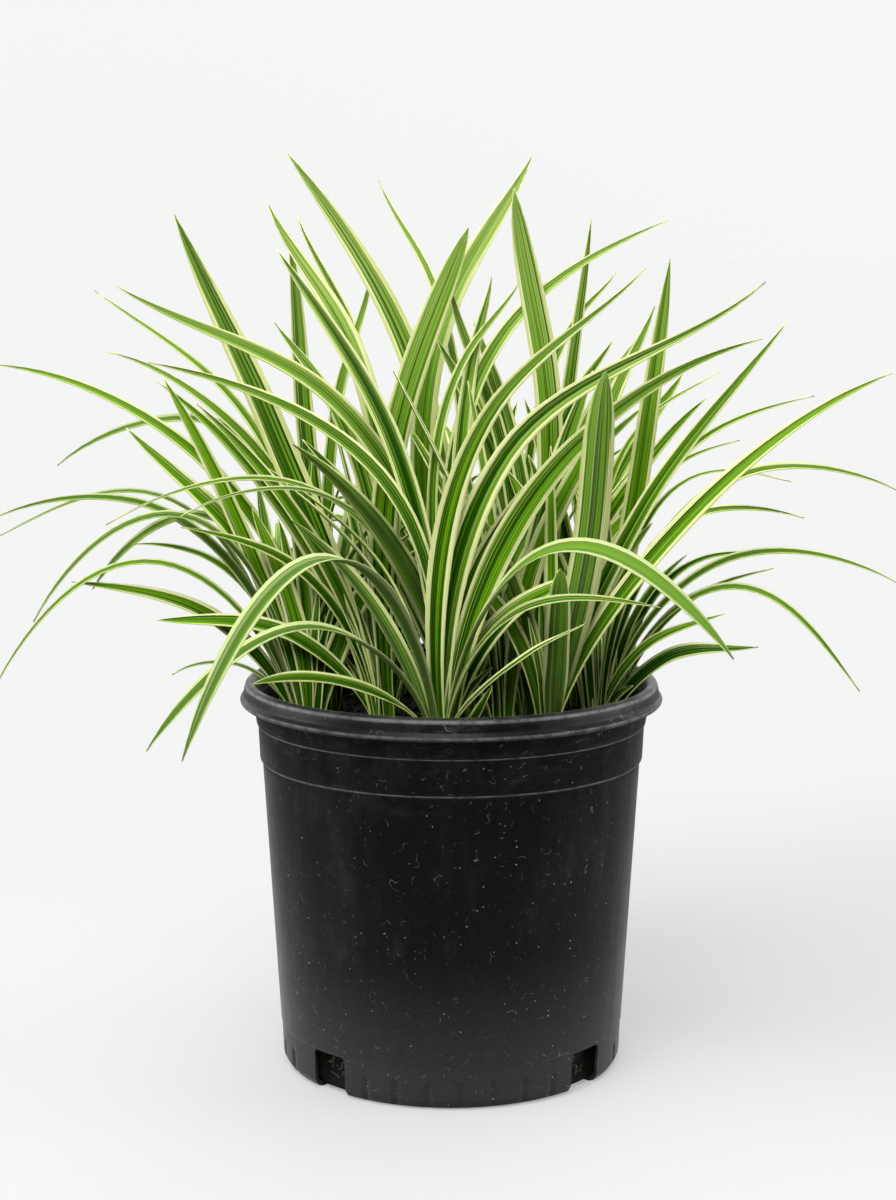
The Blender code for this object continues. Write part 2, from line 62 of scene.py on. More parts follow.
POT_OPENING_RADIUS = 109.3 * MM
POT_SIDES = 40
POT_FINE_SIDES = 480
NOTCH_BEARINGS = (46, 140, 226, 320)
NOTCH_WIDTH = 23.5 * MM
NOTCH_HEIGHT = 23 * MM
NOTCH_DEPTH = 8 * MM
NOTCH_CORNER = 2.6 * MM
FLUTE_SPACING = 10.6
FLUTE_TOP = 16 * MM
FLUTE_DEPTH = 1.2 * MM
FLUTE_HALF_WIDTH = 2.4 * MM
FLUTE_FOOT = 3 * MM
RIM_ROUNDING_PERCENT = 30
STEP_ROUNDING = 0.3 * MM
SKIRT_CUTS = 12


def pot_profile():
    """The pot's outline as radius and height: up the outside, over the rolled rim and down the inside."""
    lip = POT_LIP_RADIUS
    bead = POT_LIP_HEIGHT
    outside = [
        (0, 0),
        (POT_FOOT_RADIUS, 0),
        (POT_FOOT_RADIUS + 3 * MM, 1.4 * MM),
        (POT_FOOT_RADIUS + 5 * MM, 5 * MM),
        (POT_SEAM_RADIUS - 0.4 * MM, POT_SEAM_HEIGHT - 0.3 * MM),
        (POT_SEAM_RADIUS, POT_SEAM_HEIGHT + 0.3 * MM),
        (POT_COLLAR_RADIUS - 1.4 * MM, POT_COLLAR_HEIGHT - 1.4 * MM),
        (POT_COLLAR_RADIUS, POT_COLLAR_HEIGHT),
        (POT_NECK_RADIUS - 0.8 * MM, POT_NECK_HEIGHT - 0.8 * MM),
        (POT_NECK_RADIUS, POT_NECK_HEIGHT),
        (POT_NECK_RADIUS + 1.2 * MM, POT_NECK_HEIGHT + 7.4 * MM),
        (POT_NECK_RADIUS + 2.2 * MM, bead + 3 * MM),
    ]
    rolled_rim = [
        (lip - 6.1 * MM, bead + 5.4 * MM),
        (lip - 4.1 * MM, bead + 5.4 * MM),
        (lip - 3.3 * MM, bead - 0.8 * MM),
        (lip - 2.1 * MM, bead - 2.4 * MM),
        (lip - 0.5 * MM, bead - 1.6 * MM),
        (lip, bead),
        (lip - 0.8 * MM, bead + 1.4 * MM),
        (lip - 1.9 * MM, bead + 2.4 * MM),
        (lip - 2.4 * MM, POT_HEIGHT - 4 * MM),
        (lip - 3.3 * MM, POT_HEIGHT - 1.4 * MM),
        (lip - 5 * MM, POT_HEIGHT),
        (POT_OPENING_RADIUS + 1.3 * MM, POT_HEIGHT - 0.7 * MM),
        (POT_OPENING_RADIUS, POT_HEIGHT - 2.8 * MM),
    ]
    inside = [
        (POT_NECK_RADIUS + 1.2 * MM - POT_WALL, POT_NECK_HEIGHT + 7.4 * MM),
        (POT_COLLAR_RADIUS - POT_WALL, POT_COLLAR_HEIGHT),
        (POT_SEAM_RADIUS - POT_WALL, POT_SEAM_HEIGHT),
        (POT_FOOT_RADIUS + 5 * MM - POT_WALL, 6 * MM),
        (POT_FOOT_RADIUS + 1 * MM, POT_FLOOR),
        (0, POT_FLOOR),
    ]
    return outside + rolled_rim + inside


def flute_bearings():
    """Even flutes between each two notches, seven where the gap is wide and five where it is narrow."""
    bearings = []
    for start, end in zip(NOTCH_BEARINGS, NOTCH_BEARINGS[1:] + NOTCH_BEARINGS[:1]):
        gap = (end - start) % 360
        count = 7 if gap > 90 else 5
        for i in range(count):
            bearings.append(start + gap / 2 + FLUTE_SPACING * (i - (count - 1) / 2))
    return bearings


def press_flutes(shell):
    """Dents the outer face of the skirt along each flute, with a round top."""
    directions = [Vector((cos(radians(b)), sin(radians(b)))) for b in flute_bearings()]
    for vertex in shell.verts:
        flat = vertex.co.xy
        if vertex.co.z > FLUTE_TOP or flat.length < POT_FOOT_RADIUS or vertex.normal.xy.dot(flat) <= 0:
            continue
        nearest = max(directions, key=flat.dot)
        aside = abs(flat.x * nearest.y - flat.y * nearest.x)
        above = max(0, vertex.co.z - (FLUTE_TOP - FLUTE_HALF_WIDTH))
        away = hypot(aside, above) / FLUTE_HALF_WIDTH
        if away < 1:
            depth = FLUTE_DEPTH * cos(away * pi / 2) ** 1.5 * min(1, vertex.co.z / FLUTE_FOOT)
            vertex.co.xy = flat * (1 - depth / flat.length)


def put_in_scene(name, data):
    made = bpy.data.objects.new(name, data)
    bpy.context.scene.collection.objects.link(made)
    return made


def finished(name, shape):
    """A new object with its place in its mesh, shaded smooth, from a bmesh that is then freed."""
    mesh = bpy.data.meshes.new(name)
    shape.to_mesh(mesh)
    shape.free()
    mesh.shade_smooth()
    return put_in_scene(name, mesh)


def notch_cutter(bearing):
    """A block with rounded upper corners that reaches through the wall and the corner of the base."""
    block = bmesh.new()
    bmesh.ops.create_cube(block, size=1)
    depth = NOTCH_DEPTH + 9 * MM
    height = NOTCH_HEIGHT + 3 * MM
    bmesh.ops.scale(block, vec=(depth, NOTCH_WIDTH, height), verts=block.verts)
    middle = POT_SEAM_RADIUS + 6 * MM - depth / 2
    bmesh.ops.translate(block, vec=(middle, 0, NOTCH_HEIGHT - height / 2), verts=block.verts)
    upper = [edge for edge in block.edges
             if all(vertex.co.z > NOTCH_HEIGHT - MM for vertex in edge.verts)
             and abs(edge.verts[0].co.y - edge.verts[1].co.y) < MM]
    bmesh.ops.bevel(block, geom=upper, offset=NOTCH_CORNER, segments=4, profile=0.5, affect="EDGES",
                    material=-1)
    turn = Matrix.Rotation(radians(bearing), 3, "Z")
    bmesh.ops.rotate(block, cent=(0, 0, 0), matrix=turn, verts=block.verts)
    return finished(f"notch_cutter_{bearing}", block)


def cut_out(solid, cutters):
    """Cuts the cutters out of the solid's mesh, and removes them."""
    for cutter in cutters:
        cutting = solid.modifiers.new(cutter.name, "BOOLEAN")
        cutting.operation = "DIFFERENCE"
        cutting.solver = "EXACT"
        cutting.object = cutter
    depsgraph = bpy.context.evaluated_depsgraph_get()
    solid.data = bpy.data.meshes.new_from_object(solid.evaluated_get(depsgraph))
    solid.modifiers.clear()
    for cutter in cutters:
        bpy.data.objects.remove(cutter)


def outline_of(corners):
    """A bmesh of one line through the corners, each given as a radius and a height."""
    outline = bmesh.new()
    points = [outline.verts.new((radius, 0, height)) for radius, height in corners]
    for pair in zip(points, points[1:]):
        outline.edges.new(pair)
    return outline


def spin_round(outline, sides):
    """Spins an outline about the z axis into a closed body with its faces outwards."""
    bmesh.ops.spin(outline, geom=outline.verts[:] + outline.edges[:], cent=(0, 0, 0), axis=(0, 0, 1),
                   angle=2 * pi, steps=sides, use_merge=True)
    bmesh.ops.remove_doubles(outline, verts=outline.verts, dist=0.001 * MM)
    bmesh.ops.recalc_face_normals(outline, faces=outline.faces)


def moulded_pot():
    shell = outline_of(pot_profile())
    rim_foot = POT_LIP_HEIGHT - 3 * MM
    on_rim = [v for v in shell.verts if v.co.z > rim_foot and v.co.x > POT_OPENING_RADIUS - MM]
    bmesh.ops.bevel(shell, geom=on_rim, offset=RIM_ROUNDING_PERCENT, offset_type="PERCENT", segments=2,
                    profile=0.5, affect="VERTICES", material=-1)
    below = [v for v in shell.verts if v.co.z < rim_foot and v.co.x > MM]
    bmesh.ops.bevel(shell, geom=below, offset=STEP_ROUNDING, offset_type="OFFSET", segments=2,
                    profile=0.5, affect="VERTICES", material=-1)
    skirt = [edge for edge in shell.edges
             if 10 * MM < edge.calc_length() < 30 * MM
             and all(4 * MM < v.co.z < POT_SEAM_HEIGHT for v in edge.verts)]
    bmesh.ops.subdivide_edges(shell, edges=skirt, cuts=SKIRT_CUTS)
    spin_round(shell, POT_FINE_SIDES)
    shell.normal_update()
    press_flutes(shell)
    pot = finished("nursery_pot", shell)
    cut_out(pot, [notch_cutter(bearing) for bearing in NOTCH_BEARINGS])
    pot.data.set_sharp_from_angle(angle=radians(40))
    return pot


class Pattern:
    """One output of a material node. Patterns are added, taken away and multiplied by Math nodes."""

    def __init__(self, node, output=0):
        self.node = node
        self.tree = node.id_data
        self.socket = node.outputs[output]

    def __getitem__(self, output):
        return Pattern(self.node, output)

    def maths(self, operation, *others):
        sockets = dict(enumerate((self, *others)))
        return add_node(self.tree, "Math", sockets, operation=operation)

    def __add__(self, other):
        return self.maths("ADD", other)

    def __sub__(self, other):
        return self.maths("SUBTRACT", other)

    def __mul__(self, other):
        return self.maths("MULTIPLY", other)

    def __abs__(self):
        return self.maths("ABSOLUTE")


def add_node(tree, kind, sockets, **settings):
    """A new material node's first output. Each socket is given a value, or a pattern to join to it."""
    made = tree.nodes.new("ShaderNode" + kind)
    for setting, value in settings.items():
        setattr(made, setting, value)
    for socket, value in sockets.items():
        if isinstance(value, Pattern):
            tree.links.new(value.socket, made.inputs[socket])
        else:
            made.inputs[socket].default_value = value
    return Pattern(made)


def largest(first, *others):
    """The greatest of some patterns at each place."""
    for other in others:
        first = first.maths("MAXIMUM", other)
    return first


def rise_between(value, low, high, to_low=0.0, to_high=1.0):
    """Turns a pattern that passes from low to high into a smooth share."""
    sockets = {"Value": value, "From Min": low, "From Max": high, "To Min": to_low, "To Max": to_high}
    return add_node(value.tree, "MapRange", sockets, interpolation_type="SMOOTHSTEP")


def blended(share, first, second):
    """The colour that lies that share of the way from the first to the second."""
    tree = share.tree if isinstance(share, Pattern) else first.tree
    return add_node(tree, "Mix", {0: share, 6: first, 7: second}, data_type="RGBA")[2]


def stretched(place, stretch):
    """A place with its directions scaled, so a pattern there is drawn out or squeezed."""
    return add_node(place.tree, "VectorMath", {0: place, 1: stretch}, operation="MULTIPLY")


def speckle(place, scale, detail=3.0, roughness=0.6):
    """A noise about 0.5. Its scale is the features a metre, as one number or one for each direction."""
    if isinstance(scale, tuple):
        place, scale = stretched(place, scale), 1
    sockets = {"Vector": place, "Scale": scale, "Detail": detail, "Roughness": roughness}
    return add_node(place.tree, "TexNoise", sockets)


def new_material(name, specular, roughness=0.5):
    mat = bpy.data.materials.new(name)
    mat.use_nodes = True
    shader = mat.node_tree.nodes["Principled BSDF"]
    shader.inputs["Roughness"].default_value = roughness
    shader.inputs["Specular IOR Level"].default_value = specular
    return mat, shader


def place_and_height(mat):
    """The place on the piece, and its height above the floor."""
    place = add_node(mat.node_tree, "TexCoord", {})["Object"]
    return place, add_node(mat.node_tree, "SeparateXYZ", {0: place})["Z"]


def feed(node, socket, pattern):
    """Joins a pattern to a node that is there already."""
    pattern.tree.links.new(pattern.socket, node.inputs[socket])


def emboss(shader, height, strength, depth):
    """A fine relief that stands up where the pattern is high."""
    feed(shader, "Normal", add_node(height.tree, "Bump", {
        "Height": height, "Strength": strength, "Distance": depth}))


BLACK_DEEP = (0.0008, 0.001, 0.0011, 1)
BLACK_FADED = (0.002, 0.0024, 0.0026, 1)
WIPED_GREY = (0.008, 0.009, 0.0095, 1)
DUST_AND_REFLECTION_GREY = (0.12, 0.125, 0.12, 1)
WORN_AND_HIGHLIGHT_GREY = (0.24, 0.245, 0.245, 1)
MARK_GREY = (0.42, 0.43, 0.42, 1)
SMUDGES_FROM = POT_COLLAR_HEIGHT - 30 * MM
RIM_DUST_FROM = POT_HEIGHT - 7 * MM
FILM_AND_REFLECTION_FROM = 95 * MM
FILM_AND_REFLECTION_FULL = 10 * MM
FILM_AND_REFLECTION_SHARE = 0.24
HAZE_SHARE = 0.12
SPECKS_A_METRE = 340
LARGEST_SPECK = 0.14
SCRATCH_SHARE = 0.35

# Pale lines along edges, partly rubbed wear and partly painted highlight: the height, how far the pale line
# reaches and how strong it is.
WORN_AND_HIGHLIGHT_LINES = (
    (POT_SEAM_HEIGHT, 0.5 * MM, 0.1),
    (POT_COLLAR_HEIGHT, 0.7 * MM, 0.8),
    (POT_NECK_HEIGHT, 0.6 * MM, 0.8),
    (POT_LIP_HEIGHT - 0.4 * MM, 1.3 * MM, 0.8),
    (POT_HEIGHT - 2.3 * MM, 1.3 * MM, 0.8),
)


def wiped_black(cloud, streaks):
    """Cloudy near black, with upright paler streaks where the pot was wiped."""
    black = blended(rise_between(cloud, 0.35, 0.7), BLACK_DEEP, BLACK_FADED)
    return blended(rise_between(streaks, 0.5, 0.8, 0, 0.5), black, WIPED_GREY)


def dust_and_reflection_on_pot(place, height, cloud):
    """Smudges near the rim, a little dust on top of it, a speckled film low down and a haze between. The film
    is partly dust and partly painted reflection of the pale floor.
    """
    smudges = rise_between(speckle(place, (37.5, 37.5, 135), 6, 0.8), 0.5, 0.75)
    smudges *= rise_between(height, SMUDGES_FROM, POT_HEIGHT)
    on_top = rise_between(height, RIM_DUST_FROM, POT_HEIGHT - MM) * rise_between(cloud, 0.3, 0.6, 0.02, 0.09)
    # A pale speckled film that grows toward the bottom: partly dust, partly painted reflection of the floor.
    film = rise_between(height, FILM_AND_REFLECTION_FROM, FILM_AND_REFLECTION_FULL, 0.0, FILM_AND_REFLECTION_SHARE)
    film *= rise_between(speckle(place, 700, 3, 0.8), 0.3, 0.7, 0.8, 1.2)
    haze = speckle(place, (38, 38, 17.1), 6, 0.75)
    return largest(on_top + smudges * 0.5, film, rise_between(haze, 0.46, 0.74, 0, HAZE_SHARE))


def worn_and_highlit_edges(place, height):
    """Pale lines along the seam, the steps and the rim, stronger and weaker in patches: partly rubbed wear,
    partly painted highlight where the edges catch the light.
    """
    lines = [rise_between(abs(height - line), reach, 0.2 * reach, 0, share)
             for line, reach, share in WORN_AND_HIGHLIGHT_LINES]
    return largest(*lines) * rise_between(speckle(place, 130, 4), 0.3, 0.6, 0.25, 0.8)


def specks_and_scratches(place):
    """Pale specks, each in its own cell of a pattern, and short fine scratches in patches."""
    shift = add_node(place.tree, "TexNoise", {"Vector": place, "Scale": 600})["Color"]
    shift = stretched(shift, (1.6 * MM, 1.6 * MM, 1.6 * MM))
    uneven = add_node(place.tree, "VectorMath", {0: place, 1: shift}, operation="ADD")
    cells = add_node(place.tree, "TexVoronoi", {"Vector": uneven, "Scale": SPECKS_A_METRE})
    chance = add_node(place.tree, "SeparateColor", {0: cells["Color"]})
    size = rise_between(chance["Red"], 0.35, 1.0, 0.0, LARGEST_SPECK)
    specks = size.maths("GREATER_THAN", cells["Distance"])
    specks *= rise_between(chance["Green"], 0.3, 1.0, 0.05, 0.8)
    lines = rise_between(abs(speckle(place, 110, 1) - 0.5), 0.008, 0.003, 0, SCRATCH_SHARE)
    return largest(specks, lines * rise_between(speckle(place, 170, 3), 0.56, 0.66))


def black_plastic():
    """Dusty, scuffed black plastic. The sheen greys its sides, as fine dust does at a grazing look."""
    mat, shader = new_material("black_moulded_plastic", 0.17)
    shader.inputs["Sheen Weight"].default_value = 0.25
    shader.inputs["Sheen Roughness"].default_value = 0.3
    shader.inputs["Sheen Tint"].default_value = (0.93, 1.0, 0.96, 1)
    place, height = place_and_height(mat)
    cloud = speckle(place, 22, 5, 0.65)
    streaks = speckle(place, (90, 90, 10.8), 4)
    # Dust, with a painted reflection of the floor low down.
    dust = dust_and_reflection_on_pot(place, height, cloud)
    marks = specks_and_scratches(place)
    colour = blended(dust, wiped_black(cloud, streaks), DUST_AND_REFLECTION_GREY)
    # Pale edge lines: partly wear, partly painted highlight.
    colour = blended(worn_and_highlit_edges(place, height), colour, WORN_AND_HIGHLIGHT_GREY)
    feed(shader, "Base Color", blended(marks, colour, MARK_GREY))
    rough = rise_between(cloud * 0.5 + streaks * 0.5, 0.35, 0.7, 0.36, 0.56)
    feed(shader, "Roughness", largest(rough, largest(marks, dust) * 0.8))
    emboss(shader, speckle(place, 900, 2) + marks * 2.0, 0.35, 0.1 * MM)
    return mat


pot = moulded_pot()
pot.data.materials.clear()
pot.data.materials.append(black_plastic())
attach(pot, "root")
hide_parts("pot")


# The potting mix is peat and composted bark. It fills the pot to 27 mm under the rim, and shows between the
# leaves and through the drain notches. It is a spun body with an uneven top, loose crumbs and fine roots.
GAP = 0.3 * MM
MIX_LEVEL = 192 * MM
MIX_SIDES = 150
MIX_TOP_CUTS = 45
MIX_SIDE_CUTS = 12
WASHED_SHARE = 0.055
WASHED_DEGREES = 9
CRUMB_COUNT = 1500
CRUMB_REACH = 103 * MM
NOTCH_CRUMBS = 45
NOTCH_ROOTS = 6
ROOT_LINKS = 7
ROOT_STEP = 1.1 * MM
ROOT_RADIUS = 0.17 * MM
ROOT_LOWEST = 5 * MM
ROOT_HIGHEST = 20 * MM
ROOT_TONE = 0.95

# Behind a notch: the lowest and the highest place in mm, and how many degrees to either side.
CRUMB_PLACES = (4.5, 21, 6.5)
ROOT_PLACES = (6, 19, 4.5)


def mix_side_radius(height):
    """The mix's radius at a height: a little less than the pot's inside."""
    slope = (POT_COLLAR_RADIUS - POT_SEAM_RADIUS) / (POT_COLLAR_HEIGHT - POT_SEAM_HEIGHT)
    return POT_SEAM_RADIUS - POT_WALL - 2 * GAP + (height - POT_SEAM_HEIGHT) * slope


def mix_top(x, y):
    """How high the mix lies at that place."""
    broad = noise.noise(Vector((x, y, 0)) * 45)
    fine = noise.noise(Vector((x, y, 0.3)) * 260)
    return MIX_LEVEL + (1.5 * broad + 0.6 * fine) * MM


def washed_back(place):
    """How far the mix has sunk back behind a notch, as a share of its radius."""
    bearing = degrees(atan2(place.y, place.x)) % 360
    nearest = min(abs(bearing - notch) for notch in NOTCH_BEARINGS)
    return WASHED_SHARE * max(0, 1 - (nearest / WASHED_DEGREES) ** 4)


def potting_mix_body():
    foot = (POT_FOOT_RADIUS, POT_FLOOR + GAP)
    side_foot = (mix_side_radius(POT_SEAM_HEIGHT) - 0.4 * MM, POT_SEAM_HEIGHT)
    side_top = (mix_side_radius(MIX_LEVEL) - 0.6 * MM, MIX_LEVEL)
    body = outline_of([(0, POT_FLOOR + GAP), foot, (POT_FOOT_RADIUS + 2.5 * MM, 6.5 * MM), side_foot,
                       side_top, (0, MIX_LEVEL)])
    shown = [edge for edge in body.edges
             if 12 * MM < edge.calc_length() < 120 * MM and edge.verts[0].co.z > 4 * MM]
    for edge in shown:
        cuts = MIX_TOP_CUTS if edge.verts[0].co.z > MIX_LEVEL - MM else MIX_SIDE_CUTS
        bmesh.ops.subdivide_edges(body, edges=[edge], cuts=cuts)
    spin_round(body, MIX_SIDES)
    for vertex in body.verts:
        if vertex.co.z > MIX_LEVEL - MM:
            vertex.co.z = mix_top(vertex.co.x, vertex.co.y)
        elif 6 * MM < vertex.co.z < POT_SEAM_HEIGHT:
            vertex.co.xy *= 1 - 0.012 * abs(noise.noise(vertex.co * 200)) - washed_back(vertex.co)
    return finished("potting_mix_body", body)


def add_ball(heap, tones, place, form, tone):
    """A small ball at that place, turned and squashed by its form, with its tone kept on its points."""
    placing = Matrix.Translation(place) @ form
    ball = bmesh.ops.create_icosphere(heap, subdivisions=1, radius=1, matrix=placing)["verts"]
    for vertex in ball:
        vertex[tones] = tone
    return ball


def add_crumb(heap, tones, place, size, draw, tone):
    """One crumb: a small ball squashed and turned by the draw, and made uneven."""
    angle = draw.uniform(0, 6.28)
    turn = Matrix.Rotation(angle, 4, Vector((draw.gauss(0, 1), draw.gauss(0, 1), draw.gauss(0, 1))))
    squash = Matrix.Diagonal((size * draw.uniform(0.5, 1), size * draw.uniform(0.5, 1), size, 1))
    for vertex in add_ball(heap, tones, place, turn @ squash, tone):
        vertex.co += 0.25 * size * noise.noise_vector(vertex.co * 900)


def in_notch(notch, draw, places, depth):
    """A place on the washed-back mix behind a notch."""
    lowest, highest, spread = places
    height = draw.uniform(lowest, highest) * MM
    bearing = radians(notch + draw.uniform(-spread, spread))
    radius = mix_side_radius(height) * (1 - WASHED_SHARE) - depth
    return Vector((radius * cos(bearing), radius * sin(bearing), height))


def add_root(heap, tones, place, draw):
    """A fine pale root: a chain of thin links that wanders over the mix behind a notch."""
    around = Vector((-place.y, place.x, 0)).normalized()
    slim = Matrix.Diagonal((ROOT_RADIUS, ROOT_RADIUS, 0.8 * ROOT_STEP, 1))
    slope = draw.uniform(0, 2 * pi)
    for _ in range(ROOT_LINKS):
        slope += draw.gauss(0, 0.6)
        heading = around * cos(slope) + Vector((0, 0, sin(slope)))
        if not ROOT_LOWEST < place.z + 2 * ROOT_STEP * heading.z < ROOT_HIGHEST:
            slope = -slope
            heading.z = -heading.z
        turn = heading.to_track_quat("Z", "Y").to_matrix().to_4x4()
        add_ball(heap, tones, place, turn @ slim, ROOT_TONE)
        place = place + heading * ROOT_STEP


def mix_crumbs():
    heap = bmesh.new()
    tones = heap.verts.layers.float.new("crumb_tone")
    draw = random.Random(31)
    noise.seed_set(31)
    for _ in range(CRUMB_COUNT):
        radius = CRUMB_REACH * sqrt(draw.random())
        bearing = draw.uniform(0, 2 * pi)
        x, y = radius * cos(bearing), radius * sin(bearing)
        size = draw.uniform(0.6, 1.4) ** 2 * MM
        add_crumb(heap, tones, Vector((x, y, mix_top(x, y) + 0.2 * size)), size, draw, draw.random())
    for notch in NOTCH_BEARINGS:
        for _ in range(NOTCH_CRUMBS):
            size = draw.uniform(0.5, 1.1) * MM
            place = in_notch(notch, draw, CRUMB_PLACES, draw.uniform(0.2, 1.2) * MM)
            add_crumb(heap, tones, place, size, draw, draw.random() ** 0.5)
        for _ in range(NOTCH_ROOTS):
            add_root(heap, tones, in_notch(notch, draw, ROOT_PLACES, -GAP), draw)
    return finished("potting_mix_crumbs", heap)


PEAT_BLACK = (0.003, 0.003, 0.0025, 1)
PEAT_BROWN = (0.014, 0.011, 0.008, 1)
BARK_BROWN = (0.034, 0.024, 0.015, 1)
PAINTED_SHADE_BLACK = (0.0015, 0.0015, 0.0015, 1)
ROOT_TAN = (0.17, 0.15, 0.11, 1)
MOSS_GREEN = (0.14, 0.2, 0.03, 1)


def attribute(mat, name):
    """A value kept on the piece's points."""
    return add_node(mat.node_tree, "Attribute", {}, attribute_name=name)["Fac"]


def peat_and_bark(name, loose):
    """Dark mix. Darkest low down, which is painted shade behind the drain notches. Loose crumbs have their
    own tones: a few are tan as roots, or mossy.
    """
    mat, shader = new_material(name, 0.25, 0.9)
    place, height = place_and_height(mat)
    tone = attribute(mat, "crumb_tone") if loose else speckle(place, 420, 3, 0.7)
    colour = blended(speckle(place, 160, 5, 0.7), PEAT_BLACK, PEAT_BROWN)
    colour = blended(rise_between(tone, 0.55, 0.9, 0, 0.8), colour, BARK_BROWN)
    # Painted shade: the mix is darkened low down, where it lies in shade behind the drain notches.
    low = rise_between(height, 2 * POT_SEAM_HEIGHT, POT_SEAM_HEIGHT, 0, 0.75)
    colour = blended(low, colour, PAINTED_SHADE_BLACK)
    if loose:
        colour = blended(rise_between(tone, 0.93, 0.94), colour, ROOT_TAN)
        colour = blended(rise_between(tone, 0.972, 0.974), colour, MOSS_GREEN)
    feed(shader, "Base Color", colour)
    emboss(shader, speckle(place, 700, 5, 0.7), 0.9, 0.8 * MM)
    return mat


mix = potting_mix_body()
mix.data.materials.append(peat_and_bark("packed_potting_mix", False))
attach(mix, "root")
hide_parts("potting_mix")
crumbs = mix_crumbs()
crumbs.data.materials.append(peat_and_bark("loose_potting_mix", True))
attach(crumbs, "root")


# The leaves grow from seventeen fans. A leaf is a long keeled blade, green in fine streaks with cream margins
# and greyer underneath, that rises through its knee to a fine point. The places and the rule are those of the
# solid fans, so each fan here grows leaf for leaf over its solid.
CROWN_SINK = 14 * MM
CROWN_RISE = 7 * MM
CROWN_RADIUS = 10 * MM
CROWN_SIDES = 8
BLADE_KEEL = 0.5 * MM
BLADE_FOLD = 0.12
BLADE_ROOT_SHARE = 0.38
BLADE_ROOT_SINK = 5 * MM
BLADE_ROOT_SPREAD = 5.5 * MM
BLADE_CLEARANCE = 0.5 * MM
FIRST_SPAN = 0.09
TRIES = 250
DRAWN_OUT = 1.5
SLENDER = 3
POINTED = 6
BLUNT = 12
FILLERS = 18
TALL_FILLERS = 14
SIDE_REACH = 112

# A filler leaf's ranges, in mm and degrees. The arching ones stand at the back.
ARCHING_SHARE = 0.3
ARCH_REACH = (90, 170)
ARCH_PEAK = (75, 150)
ARCH_DROP_SHARE = (-0.1, 0.55)
ARCH_WIDTH = (8, 13)
SHORT_LENGTH = (45, 95)
SHORT_WIDTH = (6, 11)
LONG_LENGTH = (100, 190)
LONG_WIDTH = (9, 14.5)
LEAN = (4, 38)

